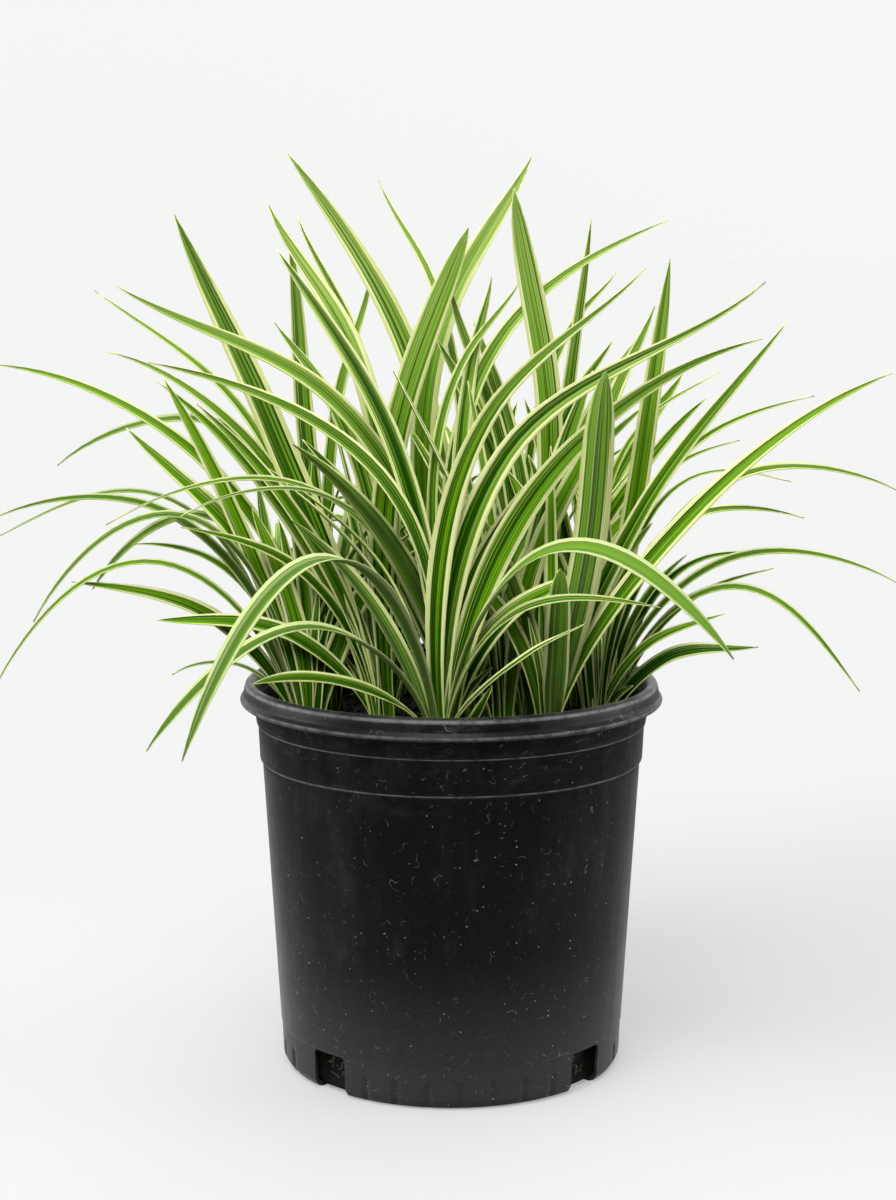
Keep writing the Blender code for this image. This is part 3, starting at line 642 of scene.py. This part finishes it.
# Each fan: its place on the mix in mm, then the leaves that can be told apart from the front. Each leaf is
# (bearing, knee out, knee up, tip out, tip up, nod, width, turn) in degrees and mm. It passes through its
# knee and ends at its tip, pointing nod degrees above level. Its turn brings its upper face to the front.
# A ninth value is how bluntly it ends, where its nod doesn't tell.
FANS = {
    "fan_front": ((-6, -58), [
        (235, 95, 113, 207, 29, -60, 13, 5, POINTED),
        (225, 85, 75, 196, 27, -45, 10.5, 15, POINTED),
        (10, 71, 163, 172, 217, 12, 20, 72, DRAWN_OUT),
        (5, 32, 156, 171, 248, 42, 19, 72, DRAWN_OUT),
        (195, 27, 142, 153, 208, 12, 12.5, 50),
        (320, 80, 115, 184, 68, -45, 13, 32, POINTED),
        (20, 25, 176, 117, 255, 45, 17, 72, DRAWN_OUT),
        (160, 25, 164, 96, 265, 53, 11, 55),
        (330, 39, 74, 127, 86, -5, 10.5, 30),
        (215, 70, 45, 115, 47, -10, 10, 30, POINTED),
        (330, 54, 56, 88, 75, 30, 6, 35),
        (8, 35, 72, 93, 94, 10, 14, 50),
        (345, 15, 12, 28, 34, 60, 8, 45, POINTED),
    ]),
    "fan_right_near": ((52, -50), [
        (330, 24, 113, 33, 203, 80, 19, -85, BLUNT),
        (280, 12, 50, 19, 99, 88, 14, 0, BLUNT),
        (10, 50, 125, 131, 228, 52, 11, 60, SLENDER),
        (350, 75, 126, 178, 202, 22, 12.5, 60),
    ]),
    "fan_front_right": ((80, -26), [
        (30, 27, 153, 44, 260, 82, 12.5, 65),
        (345, 75, 102, 161, 89, -28, 7.5, 35),
        (335, 79, 86, 144, 34, -50, 7.5, 30),
        (350, 91, 149, 159, 137, -25, 10, 40),
        (335, 35, 45, 88, 55, 12, 11.5, 50),
        (340, 24, 49, 72, 72, 22, 8, 40),
        (355, 61, 126, 108, 123, -15, 8, 35),
        (40, 9, 181, 42, 234, 65, 10, 60),
        (330, 9, 22, 19, 29, 30, 8, 45),
    ]),
    "fan_left_mid": ((-38, -18), [
        (40, 3, 161, 57, 277, 62, 15.5, 65, BLUNT),
        (160, 63, 168, 121, 284, 66, 16, 65),
        (200, 47, 55, 125, 69, 5, 11, 45, POINTED),
        (195, 46, 94, 108, 117, 12, 10, 45),
        (175, 59, 133, 121, 193, 35, 11, 60),
        (185, 56, 134, 100, 182, 42, 10, 55),
        (140, 21, 212, 84, 289, 60, 12.5, 55),
        (150, 33, 185, 70, 224, 50, 10, 60),
    ]),
    "fan_middle": ((6, -10), [
        (190, 67, 182, 184, 246, 33, 12.5, 55),
        (15, 33, 232, 116, 280, 22, 11.5, 50),
        (205, 101, 143, 199, 124, -28, 10, 35, DRAWN_OUT),
        (215, 110, 141, 177, 130, -25, 10, 35, DRAWN_OUT),
        (60, 13, 212, 31, 250, 75, 11, 65),
        (40, 2, 204, 44, 247, 52, 6, 60),
    ]),
    "fan_right_mid": ((44, 4), [
        (150, -11, 185, 11, 298, 83, 14.5, 70, BLUNT),
        (165, 15, 158, 46, 252, 82, 9, 60),
        (150, 10, 161, 34, 225, 65, 11.5, 60),
        (170, 22, 156, 52, 216, 60, 11.5, 60),
    ]),
    "fan_front_left": ((-78, -28), [
        (200, 44, 65, 125, 91, 10, 12.5, 50),
        (195, 78, 123, 144, 66, -60, 7, 35, POINTED),
        (175, 60, 100, 98, 103, -10, 7.5, 35),
        (205, 87, 100, 173, 25, -65, 8, 20, DRAWN_OUT),
        (190, 91, 130, 167, 120, -25, 8, 30),
        (185, 40, 97, 102, 168, 45, 12.5, 65),
        (170, 46, 134, 79, 196, 60, 10, 60),
        (210, 39, 43, 76, 40, -30, 4.5, 30),
    ]),
    "fan_back_mid": ((0, 46), [
        (165, 29, 216, 97, 319, 52, 15, 55),
        (45, -11, 219, 65, 317, 55, 15, 65),
        (130, 14, 246, 63, 304, 60, 6, 60),
    ]),
    "fan_left_back": ((-70, 40), [
        (195, 77, 155, 184, 202, 5, 11.5, 50),
        (185, 78, 169, 153, 142, -40, 7.5, 40, POINTED),
        (185, 47, 160, 123, 207, 12, 10, 50),
        (165, 52, 175, 140, 240, 35, 6, 50),
        (150, 19, 167, 29, 273, 80, 11.5, 70),
        (60, 3, 176, 44, 257, 76, 8, 60),
    ]),
    "fan_left_rim": ((-90, 6), [
        (190, 76, 132, 161, 106, -25, 5.5, 30),
        (205, 58, 120, 110, 82, -55, 8, 30, POINTED),
    ]),
    "fan_right_back": ((46, 54), [
        (15, 66, 159, 91, 193, 58, 12.5, 55),
        (350, 63, 142, 98, 181, 40, 11, 55),
        (30, 30, 183, 54, 212, 55, 10, 55),
        (40, 54, 184, 81, 213, 58, 10, 55),
        (45, 41, 225, 75, 251, 50, 6, 50),
        (40, 30, 191, 46, 282, 82, 9, 65),
    ]),
    "fan_right_rim": ((90, 12), [
        (0, 55, 141, 98, 135, -12, 5, 30),
        (10, 53, 160, 117, 182, 12, 6.5, 45),
        (20, 26, 174, 66, 196, 33, 4.5, 45),
        (10, 39, 148, 70, 158, 15, 6.5, 45),
        (345, 51, 94, 83, 98, 5, 8, 40),
        (330, 54, 77, 95, 93, 18, 5.5, 40),
        (350, 22, 75, 42, 96, 45, 7, 40),
    ]),
    "fan_back_left": ((-34, 76), [
        (140, 33, 216, 78, 284, 66, 7, 60),
    ]),
    "fan_back": ((12, 88), []),
    "fan_left_inner": ((-36, 28), []),
    "fan_right_far": ((76, 48), []),
    "fan_inner": ((27, -31), []),
}


@dataclass
class Leaf:
    """One leaf in degrees and mm, as in the rows above. Its root stands off the fan's middle."""
    bearing: float
    knee_out: float
    knee_up: float
    tip_out: float
    tip_up: float
    nod: float
    width: float
    turn: float
    ending: float = 0.0
    root_out: float = 0.0
    root_aside: float = 0.0

    def outward(self):
        angle = radians(self.bearing)
        return Vector((cos(angle), sin(angle), 0))

    def taper(self):
        if self.ending:
            return self.ending
        return SLENDER + (POINTED - SLENDER) * min(1, max(0, (self.nod - 25) / 30))

    def stations(self):
        """Places along the leaf, from 0 to 1: a short first span, then more spans where it bends more."""
        knee = Vector((self.knee_out, self.knee_up))
        end = Vector((self.tip_out, self.tip_up)) - knee
        spans = 3 + min(3, int(degrees(knee.angle(end)) / 25))
        return [0.0] + [FIRST_SPAN + (1 - FIRST_SPAN) * i / spans for i in range(spans + 1)]


def unit_blend(first, second, first_share, second_share):
    return (first.normalized() * first_share + second.normalized() * second_share).normalized()


def spine(place, leaf, stations):
    """Points along a leaf's midrib and the directions there: a smooth span to the knee and one to the tip."""
    knee = Vector((leaf.knee_out * MM, leaf.knee_up * MM + BLADE_ROOT_SINK))
    tip = Vector((leaf.tip_out * MM, leaf.tip_up * MM + BLADE_ROOT_SINK))
    first, second = knee.length, (tip - knee).length
    at_knee = unit_blend(knee, tip - knee, second, first)
    at_root = unit_blend(Vector((0, 1)), 2 * knee / first - at_knee, 1, 1)
    at_tip = Vector((cos(radians(leaf.nod)), sin(radians(leaf.nod))))
    outward = leaf.outward()
    aside = Vector((-outward.y, outward.x, 0))
    base = Vector((place[0] * MM, place[1] * MM, MIX_LEVEL - BLADE_ROOT_SINK))
    base += (outward * leaf.root_out + aside * leaf.root_aside) * MM
    points, directions = [], []
    for station in stations:
        along = station * (first + second)
        if along <= first:
            start, end, leave, arrive, length = Vector((0, 0)), knee, at_root, at_knee, first
            s = along / first
        else:
            start, end, leave, arrive, length = knee, tip, at_knee, at_tip, second
            s = (along - first) / second
        flat = ((2 * s ** 3 - 3 * s ** 2 + 1) * start + (s ** 3 - 2 * s ** 2 + s) * length * leave
                + (3 * s ** 2 - 2 * s ** 3) * end + (s ** 3 - s ** 2) * length * arrive)
        slope = ((6 * s ** 2 - 6 * s) * start + (3 * s ** 2 - 4 * s + 1) * length * leave
                 + (6 * s - 6 * s ** 2) * end + (3 * s ** 2 - 2 * s) * length * arrive)
        points.append(base + outward * flat.x + Vector((0, 0, flat.y)))
        directions.append((outward * slope.x + Vector((0, 0, slope.y))).normalized())
    return points, directions


def faces_and_sides(leaf, directions, turns):
    """At each place along a leaf: where its turned upper face looks, and which way is aside."""
    outward = leaf.outward()
    front = Vector((-outward.y, outward.x, 0))
    if front.y > 0:
        front = -front
    upper_sign = 1 if front.cross(directions[0]).dot(outward) < 0 else -1
    found = []
    for direction, turn in zip(directions, turns):
        upper = front.cross(direction).normalized() * upper_sign
        face = upper * cos(turn) + front * sin(turn)
        found.append((face, direction.cross(face).normalized()))
    return found


def blade(place, leaf, extra=0.0):
    """One leaf as a closed keeled blade: points and triangles. The extra makes it bigger all round."""
    stations = leaf.stations()
    centres, directions = spine(place, leaf, stations)
    turned = faces_and_sides(leaf, directions, [radians(leaf.turn)] * len(stations))
    points, faces = [], []
    for s, centre, (face, side) in zip(stations[:-1], centres, turned):
        share = BLADE_ROOT_SHARE + (1 - BLADE_ROOT_SHARE) * min(1, s / 0.4)
        half = leaf.width * MM * share * (1 - s ** leaf.taper()) / 2
        keel = BLADE_KEEL + 2 * half * BLADE_FOLD * (1 - 0.5 * s)
        points += [centre + side * (half + extra) + face * (keel / 2 + extra),
                   centre - side * (half + extra) + face * (keel / 2 + extra),
                   centre - face * (keel / 2 + extra)]
    points.append(centres[-1] + directions[-1] * extra)
    tip = len(points) - 1
    for a in range(0, tip - 3, 3):
        for i, j in ((1, 0), (2, 1), (0, 2)):
            faces += [(a + i, a + j, a + i + 3), (a + i + 3, a + j, a + j + 3)]
    faces += [(tip - 2, tip - 3, tip), (tip - 1, tip - 2, tip), (tip - 3, tip - 1, tip), (0, 1, 2)]
    return points, faces


def blade_trees(place, leaf, extra, first):
    """A blade's shape for the tests: the whole of it, and what lies beyond its first stations."""
    points, faces = blade(place, leaf, extra)
    beyond = [face for face in faces if min(face) >= 3 * first]
    return BVHTree.FromPolygons(points, faces), BVHTree.FromPolygons(points, beyond)


def is_clear(placed, fan, place, leaf, first):
    """Leaves of one fan may only meet below the first station. All others stay apart."""
    whole, upper = blade_trees(place, leaf, BLADE_CLEARANCE, first)
    for name, other_whole, other_upper in placed:
        if upper.overlap(other_upper) if name == fan else whole.overlap(other_whole):
            return False
    return True


def add_blade(placed, fan, place, leaf):
    placed.append((fan, *blade_trees(place, leaf, 0.0, 1)))


def rooted(draw, leaf):
    """The leaf with its root moved off the fan's middle, outward for one that arches low."""
    low = leaf.tip_out / (leaf.tip_out + abs(leaf.tip_up))
    out = BLADE_ROOT_SPREAD / MM * (low + draw.uniform(-0.4, 0.4))
    aside = BLADE_ROOT_SPREAD / MM * draw.uniform(-0.8, 0.8)
    return replace(leaf, root_out=out, root_aside=aside)


def bent_clear(placed, draw, fan, place, leaf):
    """The leaf as it is, or turned aside a little further each time until it passes clear of the others."""
    for attempt in range(TRIES):
        spread = attempt / TRIES
        moved = replace(leaf, bearing=leaf.bearing + 20 * spread * draw.uniform(-1, 1),
                        knee_out=leaf.knee_out + 12 * spread * draw.uniform(-1, 1),
                        turn=leaf.turn + 50 * spread * draw.uniform(-1, 1))
        moved = rooted(draw, moved)
        if is_clear(placed, fan, place, moved, 2):
            add_blade(placed, fan, place, moved)
            return moved
    return None


def filler(draw, place, short):
    """A long leaning leaf, a short one, or one that arches out at the back. None leans to the front from a
    front fan or reaches far aside, so the leaves told apart there stay in view."""
    if place[1] > 0 and not short and draw.random() < ARCHING_SHARE:
        reach = draw.uniform(*ARCH_REACH)
        peak = draw.uniform(*ARCH_PEAK)
        drop = draw.uniform(*ARCH_DROP_SHARE) * peak
        leaf = Leaf(draw.uniform(45, 135), reach * 0.5, peak, reach, peak - drop, -10 - 90 * drop / peak,
                    draw.uniform(*ARCH_WIDTH), draw.uniform(-20, 30))
    else:
        length = draw.uniform(*(SHORT_LENGTH if short else LONG_LENGTH))
        if not short:
            length += 0.4 * (95 - hypot(*place))
        lean = radians(draw.uniform(*LEAN))
        knee_lean = lean * draw.uniform(0.4, 0.7)
        bearing = draw.uniform(0, 360) if place[1] > -15 else draw.uniform(10, 170)
        leaf = Leaf(bearing, length * 0.5 * sin(knee_lean), length * 0.5 * cos(knee_lean),
                    length * sin(lean), length * cos(lean), 90 - 1.7 * degrees(lean),
                    draw.uniform(*(SHORT_WIDTH if short else LONG_WIDTH)), draw.uniform(-70, 70))
    if abs(place[0] + leaf.tip_out * leaf.outward().x) > SIDE_REACH:
        return replace(leaf, bearing=180 - leaf.bearing)
    return leaf


def grow_leaves(placed):
    """Every fan's leaves: first the ones told apart from the front, then fillers drawn from a fixed seed."""
    draw = random.Random(7)
    grown = {name: [] for name in FANS}
    for name, (place, rows) in FANS.items():
        for row in rows:
            leaf = bent_clear(placed, draw, name, place, Leaf(*row))
            if leaf:
                grown[name].append(leaf)
    for turn in range(FILLERS):
        short = turn >= TALL_FILLERS
        for name, (place, rows) in FANS.items():
            for attempt in range(TRIES):
                leaf = rooted(draw, filler(draw, place, short))
                if is_clear(placed, name, place, leaf, 2 if short else 1):
                    add_blade(placed, name, place, leaf)
                    grown[name].append(leaf)
                    break
    return grown


def stacked_rings(rings, sides, x=0.0, y=0.0):
    """Points on rings about an upright axis, and the faces between each ring and the next."""
    points, faces = [], []
    for radius, height in rings:
        for i in range(sides):
            angle = 2 * pi * i / sides
            points.append(Vector((x + radius * cos(angle), y + radius * sin(angle), height)))
    for low in range(0, len(points) - sides, sides):
        for i in range(sides):
            j = (i + 1) % sides
            faces.append((low + i, low + j, low + sides + j, low + sides + i))
    return points, faces


def crown_shape(place):
    """The low foot that a fan's leaves grow from, sunk in the mix."""
    rings = [
        (CROWN_RADIUS, MIX_LEVEL - CROWN_SINK),
        (CROWN_RADIUS, MIX_LEVEL + 1.5 * MM),
        (CROWN_RADIUS * 0.6, MIX_LEVEL + CROWN_RISE),
    ]
    points, faces = stacked_rings(rings, CROWN_SIDES, place[0] * MM, place[1] * MM)
    faces += [tuple(reversed(range(CROWN_SIDES))), tuple(range(2 * CROWN_SIDES, 3 * CROWN_SIDES))]
    return points, faces


def fixed_trees():
    """The pot's rim and every crown, which no blade of another fan may touch."""
    rim = [point for point in pot_profile() if point[1] > POT_COLLAR_HEIGHT]
    shapes = {"rim": stacked_rings(rim, POT_SIDES)}
    shapes.update((name, crown_shape(place)) for name, (place, rows) in FANS.items())
    trees = {name: BVHTree.FromPolygons(*shape) for name, shape in shapes.items()}
    return [(name, tree, tree) for name, tree in trees.items()]


# The finer blades run over the same spines. Each is a thin sheet that ends just short of its solid's point.
BLADE_THICKNESS = 0.45 * MM
BLADE_END = 1.0 * MM
THINNEST_HALF = 0.12 * MM
SPANS_ALONG = 30
SPANS_ACROSS = 6
MARGINS = (0.24, 0.42)
OLDER_NOD = -20
LEAF_VALUES = ("across", "along", "seed", "margin", "light")


def fine_share(s):
    """How much of its full width a leaf has, from root to tip, without the tip's taper."""
    t = min(1, s / 0.45)
    return BLADE_ROOT_SHARE + (1 - BLADE_ROOT_SHARE) * t * t * (3 - 2 * t)


@dataclass
class Look:
    """What sets one leaf's finish apart: pattern, margins, lightness, twist and ripple."""
    seed: float
    margin: float
    light: float
    twist: float
    ripple: float
    phase: float


def grow_fine_blade(bush, layers, place, leaf, look):
    """One leaf: a flat strip moved point by point onto the leaf's spine and folded along its keel."""
    strip = bmesh.ops.create_grid(bush, x_segments=SPANS_ACROSS, y_segments=SPANS_ALONG, size=1)["verts"]
    stations = [i / SPANS_ALONG for i in range(SPANS_ALONG + 1)]
    centres, directions = spine(place, leaf, stations)
    centres[-1] = centres[-1] - directions[-1] * BLADE_END
    turns = [radians(leaf.turn) + radians(look.twist) * (s - 0.4) for s in stations]
    turned = faces_and_sides(leaf, directions, turns)
    for vertex in strip:
        across = vertex.co.x
        row = round((vertex.co.y + 1) / 2 * SPANS_ALONG)
        s, centre, (face, side) = stations[row], centres[row], turned[row]
        half = max(THINNEST_HALF, leaf.width * MM * fine_share(s) * (1 - s ** leaf.taper()) / 2)
        fold = BLADE_KEEL + 2 * half * (BLADE_FOLD + 0.2 * max(0, 1 - s / 0.6) ** 2)
        wave = sin(look.phase + 16 * s) * min(1, 3 * (1 - s))
        ripple = look.ripple * MM * across * abs(across) * wave
        vertex.co = centre + side * (half * across) + face * (fold * (abs(across) ** 1.2 - 0.5) + ripple)
        for layer, value in zip(layers, (across, s, look.seed, look.margin, look.light)):
            vertex[layer] = value


def draw_look(draw, leaf):
    """A leaf's own look. One that hangs over is older: duller, with slightly broader margins."""
    look = Look(draw.random(), draw.uniform(*MARGINS), draw.random(), draw.gauss(0, 9),
                draw.uniform(0, 0.35), draw.uniform(0, 6.28))
    if leaf.nod < OLDER_NOD:
        return replace(look, light=-0.3 - 0.4 * look.light, margin=look.margin + 0.04)
    return look


def grow_fine_fan(name, place, leaves, draw):
    bush = bmesh.new()
    layers = [bush.verts.layers.float.new(f"leaf_{value}") for value in LEAF_VALUES]
    for leaf in leaves:
        grow_fine_blade(bush, layers, place, leaf, draw_look(draw, leaf))
    uv = bush.loops.layers.uv.new("leaf_uv")
    for face in bush.faces:
        for loop in face.loops:
            loop[uv].uv = ((loop.vert[layers[0]] + 1) / 2, loop.vert[layers[1]])
    made = finished(f"{name}_leaves", bush)
    thickness = made.modifiers.new("leaf_thickness", "SOLIDIFY")
    thickness.thickness = BLADE_THICKNESS
    thickness.offset = 0
    thickness.material_offset = 1
    return made


DEEP_GREEN = (0.008, 0.056, 0.0005, 1)
FRESH_GREEN = (0.165, 0.385, 0.006, 1)
OLD_GREEN = (0.13, 0.23, 0.035, 1)
SUNLIT_GREEN = (0.41, 0.54, 0.14, 1)
CREAM_YELLOW = (0.72, 0.79, 0.26, 1)
CREAM_WHITE = (0.92, 0.94, 0.52, 1)
CREAM_GREEN = (0.5, 0.66, 0.12, 1)
OLD_CREAM = (0.5, 0.59, 0.26, 1)
LEAF_BASE = (0.2, 0.4, 0.02, 1)
GREY_BACK = (0.16, 0.235, 0.065, 1)
DRY_TIP = (0.12, 0.075, 0.05, 1)


def streaked_green(along, height, light, bands, streaks, threads):
    """Green from deep to fresh in streaks and duller when old, with painted shade that darkens it at the foot
    and painted light that makes it paler toward the tip and high up.
    """
    tone = (bands - 0.5) * 1.6 + (streaks - 0.5) * 2.8 + (threads - 0.5) * 3.0
    tone += largest(light, 0.0) * 0.4 + 0.22
    # Paler toward the tip: painted light.
    tone += rise_between(along, 0.2, 1.0, -0.05, 0.25)
    # Darker near the mix: painted shade low in the bush.
    tone += rise_between(height, MIX_LEVEL, MIX_LEVEL + 110 * MM, -0.3, 0.05)
    green = blended(rise_between(tone, 0.0, 1.0), DEEP_GREEN, FRESH_GREEN)
    # Pale streaks high up: painted light on the upper leaves.
    sunlit = rise_between(height, MIX_LEVEL + 120 * MM, MIX_LEVEL + 300 * MM, 0.0, 0.5)
    green = blended(sunlit * rise_between(streaks, 0.38, 0.62, 0.2, 1.6), green, SUNLIT_GREEN)
    return blended(rise_between(light, 0.0, -0.7, 0.0, 0.6), green, OLD_GREEN)


def margin_cream(foot, light, threads):
    """Cream from yellow to white, duller when old, and greener low down near the mix: partly the leaf bases'
    own colour, partly painted shade.
    """
    cream = blended(rise_between(threads, 0.3, 0.7), CREAM_YELLOW, CREAM_WHITE)
    cream = blended(foot * -0.4 + 0.4, cream, CREAM_GREEN)
    return blended(rise_between(light, 0.0, -0.7, 0.0, 0.9), cream, OLD_CREAM)


def cream_share(own, across, along, foot, margin, threads):
    """Where a leaf is cream: its margins, narrower at both ends and frayed inside, and a few lines within."""
    edge = abs(across)
    wander = speckle(own, (0.7, 3.0, 1), 1)
    reach = edge + (threads - 0.5) * 0.3 + (wander - 0.5) * 0.22
    # The margins narrow near the mix, partly as leaf bases do and partly as painted shade.
    margin = margin * rise_between(along, 1.0, 0.75, 0.35, 1.0) * (foot * 0.45 + 0.55)
    lines = rise_between(speckle(own, (11, 0.35, 1.7), 1), 0.64, 0.69)
    lines *= rise_between(edge, 0.1, 0.5, 0.3, 0.85)
    return largest(rise_between(reach + margin - 1.0, -0.02, 0.03), lines)


def leaf_surface(name, under):
    """Streaked green with cream margins and some dry tips. The underside is greyer and paler."""
    mat, shader = new_material(name, 0.05)
    tree = mat.node_tree
    spread = add_node(tree, "UVMap", {}, uv_map="leaf_uv")
    spread = add_node(tree, "SeparateXYZ", {0: spread})
    across = spread["X"] * 2.0 - 1.0
    along = spread["Y"]
    seed, margin, light = [attribute(mat, f"leaf_{value}") for value in ("seed", "margin", "light")]
    height = place_and_height(mat)[1]
    own = add_node(tree, "CombineXYZ", {"X": across, "Y": along, "Z": seed * 97.0})
    bands = speckle(own, (3.0, 0.5, 1), 1)
    streaks = speckle(own, (8.0, 0.7, 1), 2)
    threads = speckle(own, (25, 0.5, 1), 1)
    # How high above the mix: low down the margins are greener and narrower, partly painted shade.
    foot = rise_between(height, MIX_LEVEL, MIX_LEVEL + 80 * MM)
    green = streaked_green(along, height, light, bands, streaks, threads)
    cream = margin_cream(foot, light, threads)
    colour = blended(cream_share(own, across, along, foot, margin, threads), green, cream)
    colour = blended(rise_between(along, 0.16, 0.0, 0.0, 0.3), colour, LEAF_BASE)
    if under:
        colour = blended(0.3, colour, GREY_BACK)
    dry = rise_between(along, 0.975, 1.0) * rise_between(seed, 0.4, 0.9, 0.0, 0.7)
    feed(shader, "Base Color", blended(dry, colour, DRY_TIP))
    feed(shader, "Roughness", rise_between(streaks, 0.3, 0.7, 0.4, 0.55))
    emboss(shader, speckle(own, (16, 1.0, 1), 2), 0.35, 0.25 * MM)
    return mat


upper_leaf = leaf_surface("leaf_upper_face", False)
under_leaf = leaf_surface("leaf_underside", True)
all_leaves = grow_leaves(fixed_trees())
look_draw = random.Random(5)
for fan_name, fan_leaves in all_leaves.items():
    fan = grow_fine_fan(fan_name, FANS[fan_name][0], fan_leaves, look_draw)
    fan.data.materials.append(upper_leaf)
    fan.data.materials.append(under_leaf)
    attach(fan, "root")
    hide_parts(fan_name)


# The studio is a plain pale floor and backdrop, soft light from the sides and above, and a camera at the
# photograph's place and angle. None of it is part of the plant.
FLOOR_RADIUS = 30.0
CAMERA_PLACE = (-0.0018, -1.329, 0.469)
CAMERA_DIP = 8.84
PHOTO_HEIGHT = 1200
FOCAL_PIXELS = 2410
SENSOR = 36
FLOOR_GREYS = (0.32, 0.325, 0.32, 1), (0.34, 0.345, 0.34, 1)
FLOOR_GLOW = 0.325
NEAR_POT = (0.2, 0.5)
DIM_REFLECTION = (0.02, 0.02, 0.02, 1)
BACKDROP_GREY = (0.2, 0.2, 0.2, 1)
BACKDROP_GLOW = (0.755, 0.769, 0.756, 1)
SURROUNDINGS_PALE = (0.906, 0.919, 0.908, 1)
DIM_FRONT = 0.06
AROUND = 0.62
FROM_SIDES = 6.2
FROM_BACK = 1.7
FROM_ABOVE = 0.85

# Painted light and shadow on the floor, a brighter pool in front and a darker patch to the right: the middle,
# how far it fades out in metres, its strength and its colour.
PAINTED_LIGHT_AND_SHADOW_SPOTS = (
    ((-0.12, -0.3, 0), 0.9, 0.22, (0.52, 0.53, 0.525, 1)),
    ((0.5, 0.2, 0), 0.6, 0.35, (0.18, 0.185, 0.175, 1)),
)


def distance_from(place, spot):
    return add_node(place.tree, "VectorMath", {0: place, 1: spot}, operation="DISTANCE")["Value"]


def pale_floor():
    """A wide pale floor with a painted pool of light toward the camera and a painted shadow to the right, and
    darker in reflections away from the pot.
    """
    disc = bmesh.new()
    bmesh.ops.create_circle(disc, cap_ends=True, radius=FLOOR_RADIUS, segments=96)
    made = finished("studio_floor", disc)
    mat, shader = new_material("pale_floor_paint", 0.0, 0.8)
    place = place_and_height(mat)[0]
    colour = blended(speckle(place, 6, 3), *FLOOR_GREYS)
    # Painted light and shadow spots on the floor.
    for spot, reach, share, tone in PAINTED_LIGHT_AND_SHADOW_SPOTS:
        colour = blended(rise_between(distance_from(place, spot), reach, 0.1, 0.0, share), colour, tone)
    away = rise_between(distance_from(place, (0, 0, 0)), *NEAR_POT, 0.0, 0.85)
    seen = add_node(mat.node_tree, "LightPath", {})["Is Camera Ray"]
    feed(shader, "Base Color", blended(seen, blended(away, colour, DIM_REFLECTION), colour))
    shader.inputs["Emission Color"].default_value = (0.99, 1.0, 0.99, 1)
    feed(shader, "Emission Strength", seen * FLOOR_GLOW)
    made.data.materials.append(mat)
    return made


def pale_backdrop():
    """A wide round wall that only the camera sees, so it neither lights nor shades the plant."""
    wall = bmesh.new()
    bmesh.ops.create_cone(wall, cap_ends=False, segments=96, radius1=FLOOR_RADIUS, radius2=FLOOR_RADIUS,
                          depth=2 * FLOOR_RADIUS)
    made = finished("studio_backdrop", wall)
    mat, shader = new_material("pale_backdrop_paint", 0.0, 1.0)
    shader.inputs["Base Color"].default_value = BACKDROP_GREY
    shader.inputs["Emission Color"].default_value = BACKDROP_GLOW
    shader.inputs["Emission Strength"].default_value = 1.0
    made.data.materials.append(mat)
    for kind in ("diffuse", "glossy", "transmission", "shadow"):
        setattr(made, f"visible_{kind}", False)
    return made


def soft_sun(name, place, strength, spread):
    """A far soft light from that side towards the pot, as even over the floor as over the plant."""
    lamp = bpy.data.lights.new(name, "SUN")
    lamp.energy = strength
    lamp.angle = radians(spread)
    made = put_in_scene(name, lamp)
    made.location = place
    made.rotation_euler = (-Vector(place)).to_track_quat("-Z", "Y").to_euler()


def pale_surroundings():
    """Soft white light, dim in front and strong from the sides. The camera sees a plain pale colour."""
    world = bpy.data.worlds.new("studio")
    world.use_nodes = True
    bpy.context.scene.world = world
    tree = world.node_tree
    direction = add_node(tree, "SeparateXYZ", {
        0: add_node(tree, "TexCoord", {})["Generated"]})
    strength = largest(rise_between(direction["Y"], -0.95, -0.1, DIM_FRONT, AROUND),
                       rise_between(abs(direction["X"]), 0.86, 0.97, 0.0, FROM_SIDES),
                       rise_between(direction["Y"], 0.3, 0.9, 0.0, FROM_BACK),
                       rise_between(direction["Z"], 0.25, 0.8, 0.0, FROM_ABOVE))
    lighting = tree.nodes["Background"]
    lighting.inputs["Color"].default_value = (1, 1, 1, 1)
    feed(lighting, "Strength", strength)
    backdrop = add_node(tree, "Background", {"Color": SURROUNDINGS_PALE, "Strength": 1.0})
    seen = add_node(tree, "LightPath", {})["Is Camera Ray"]
    both = add_node(tree, "MixShader", {0: seen, 1: Pattern(lighting), 2: backdrop})
    feed(tree.nodes["World Output"], "Surface", both)


pale_floor()
pale_backdrop()
pale_surroundings()
soft_sun("key_light", (-0.45, -1.0, 1.6), 2.52, 45)
soft_sun("back_light", (0.6, 1.2, 1.6), 0.6, 60)

lens = bpy.data.cameras.new("camera")
lens.sensor_width = SENSOR
lens.lens = FOCAL_PIXELS / PHOTO_HEIGHT * SENSOR
camera = put_in_scene("camera", lens)
camera.location = CAMERA_PLACE
camera.rotation_euler = (radians(90 - CAMERA_DIP), 0, 0)
bpy.context.scene.camera = camera
bpy.context.scene.view_settings.view_transform = "Standard"
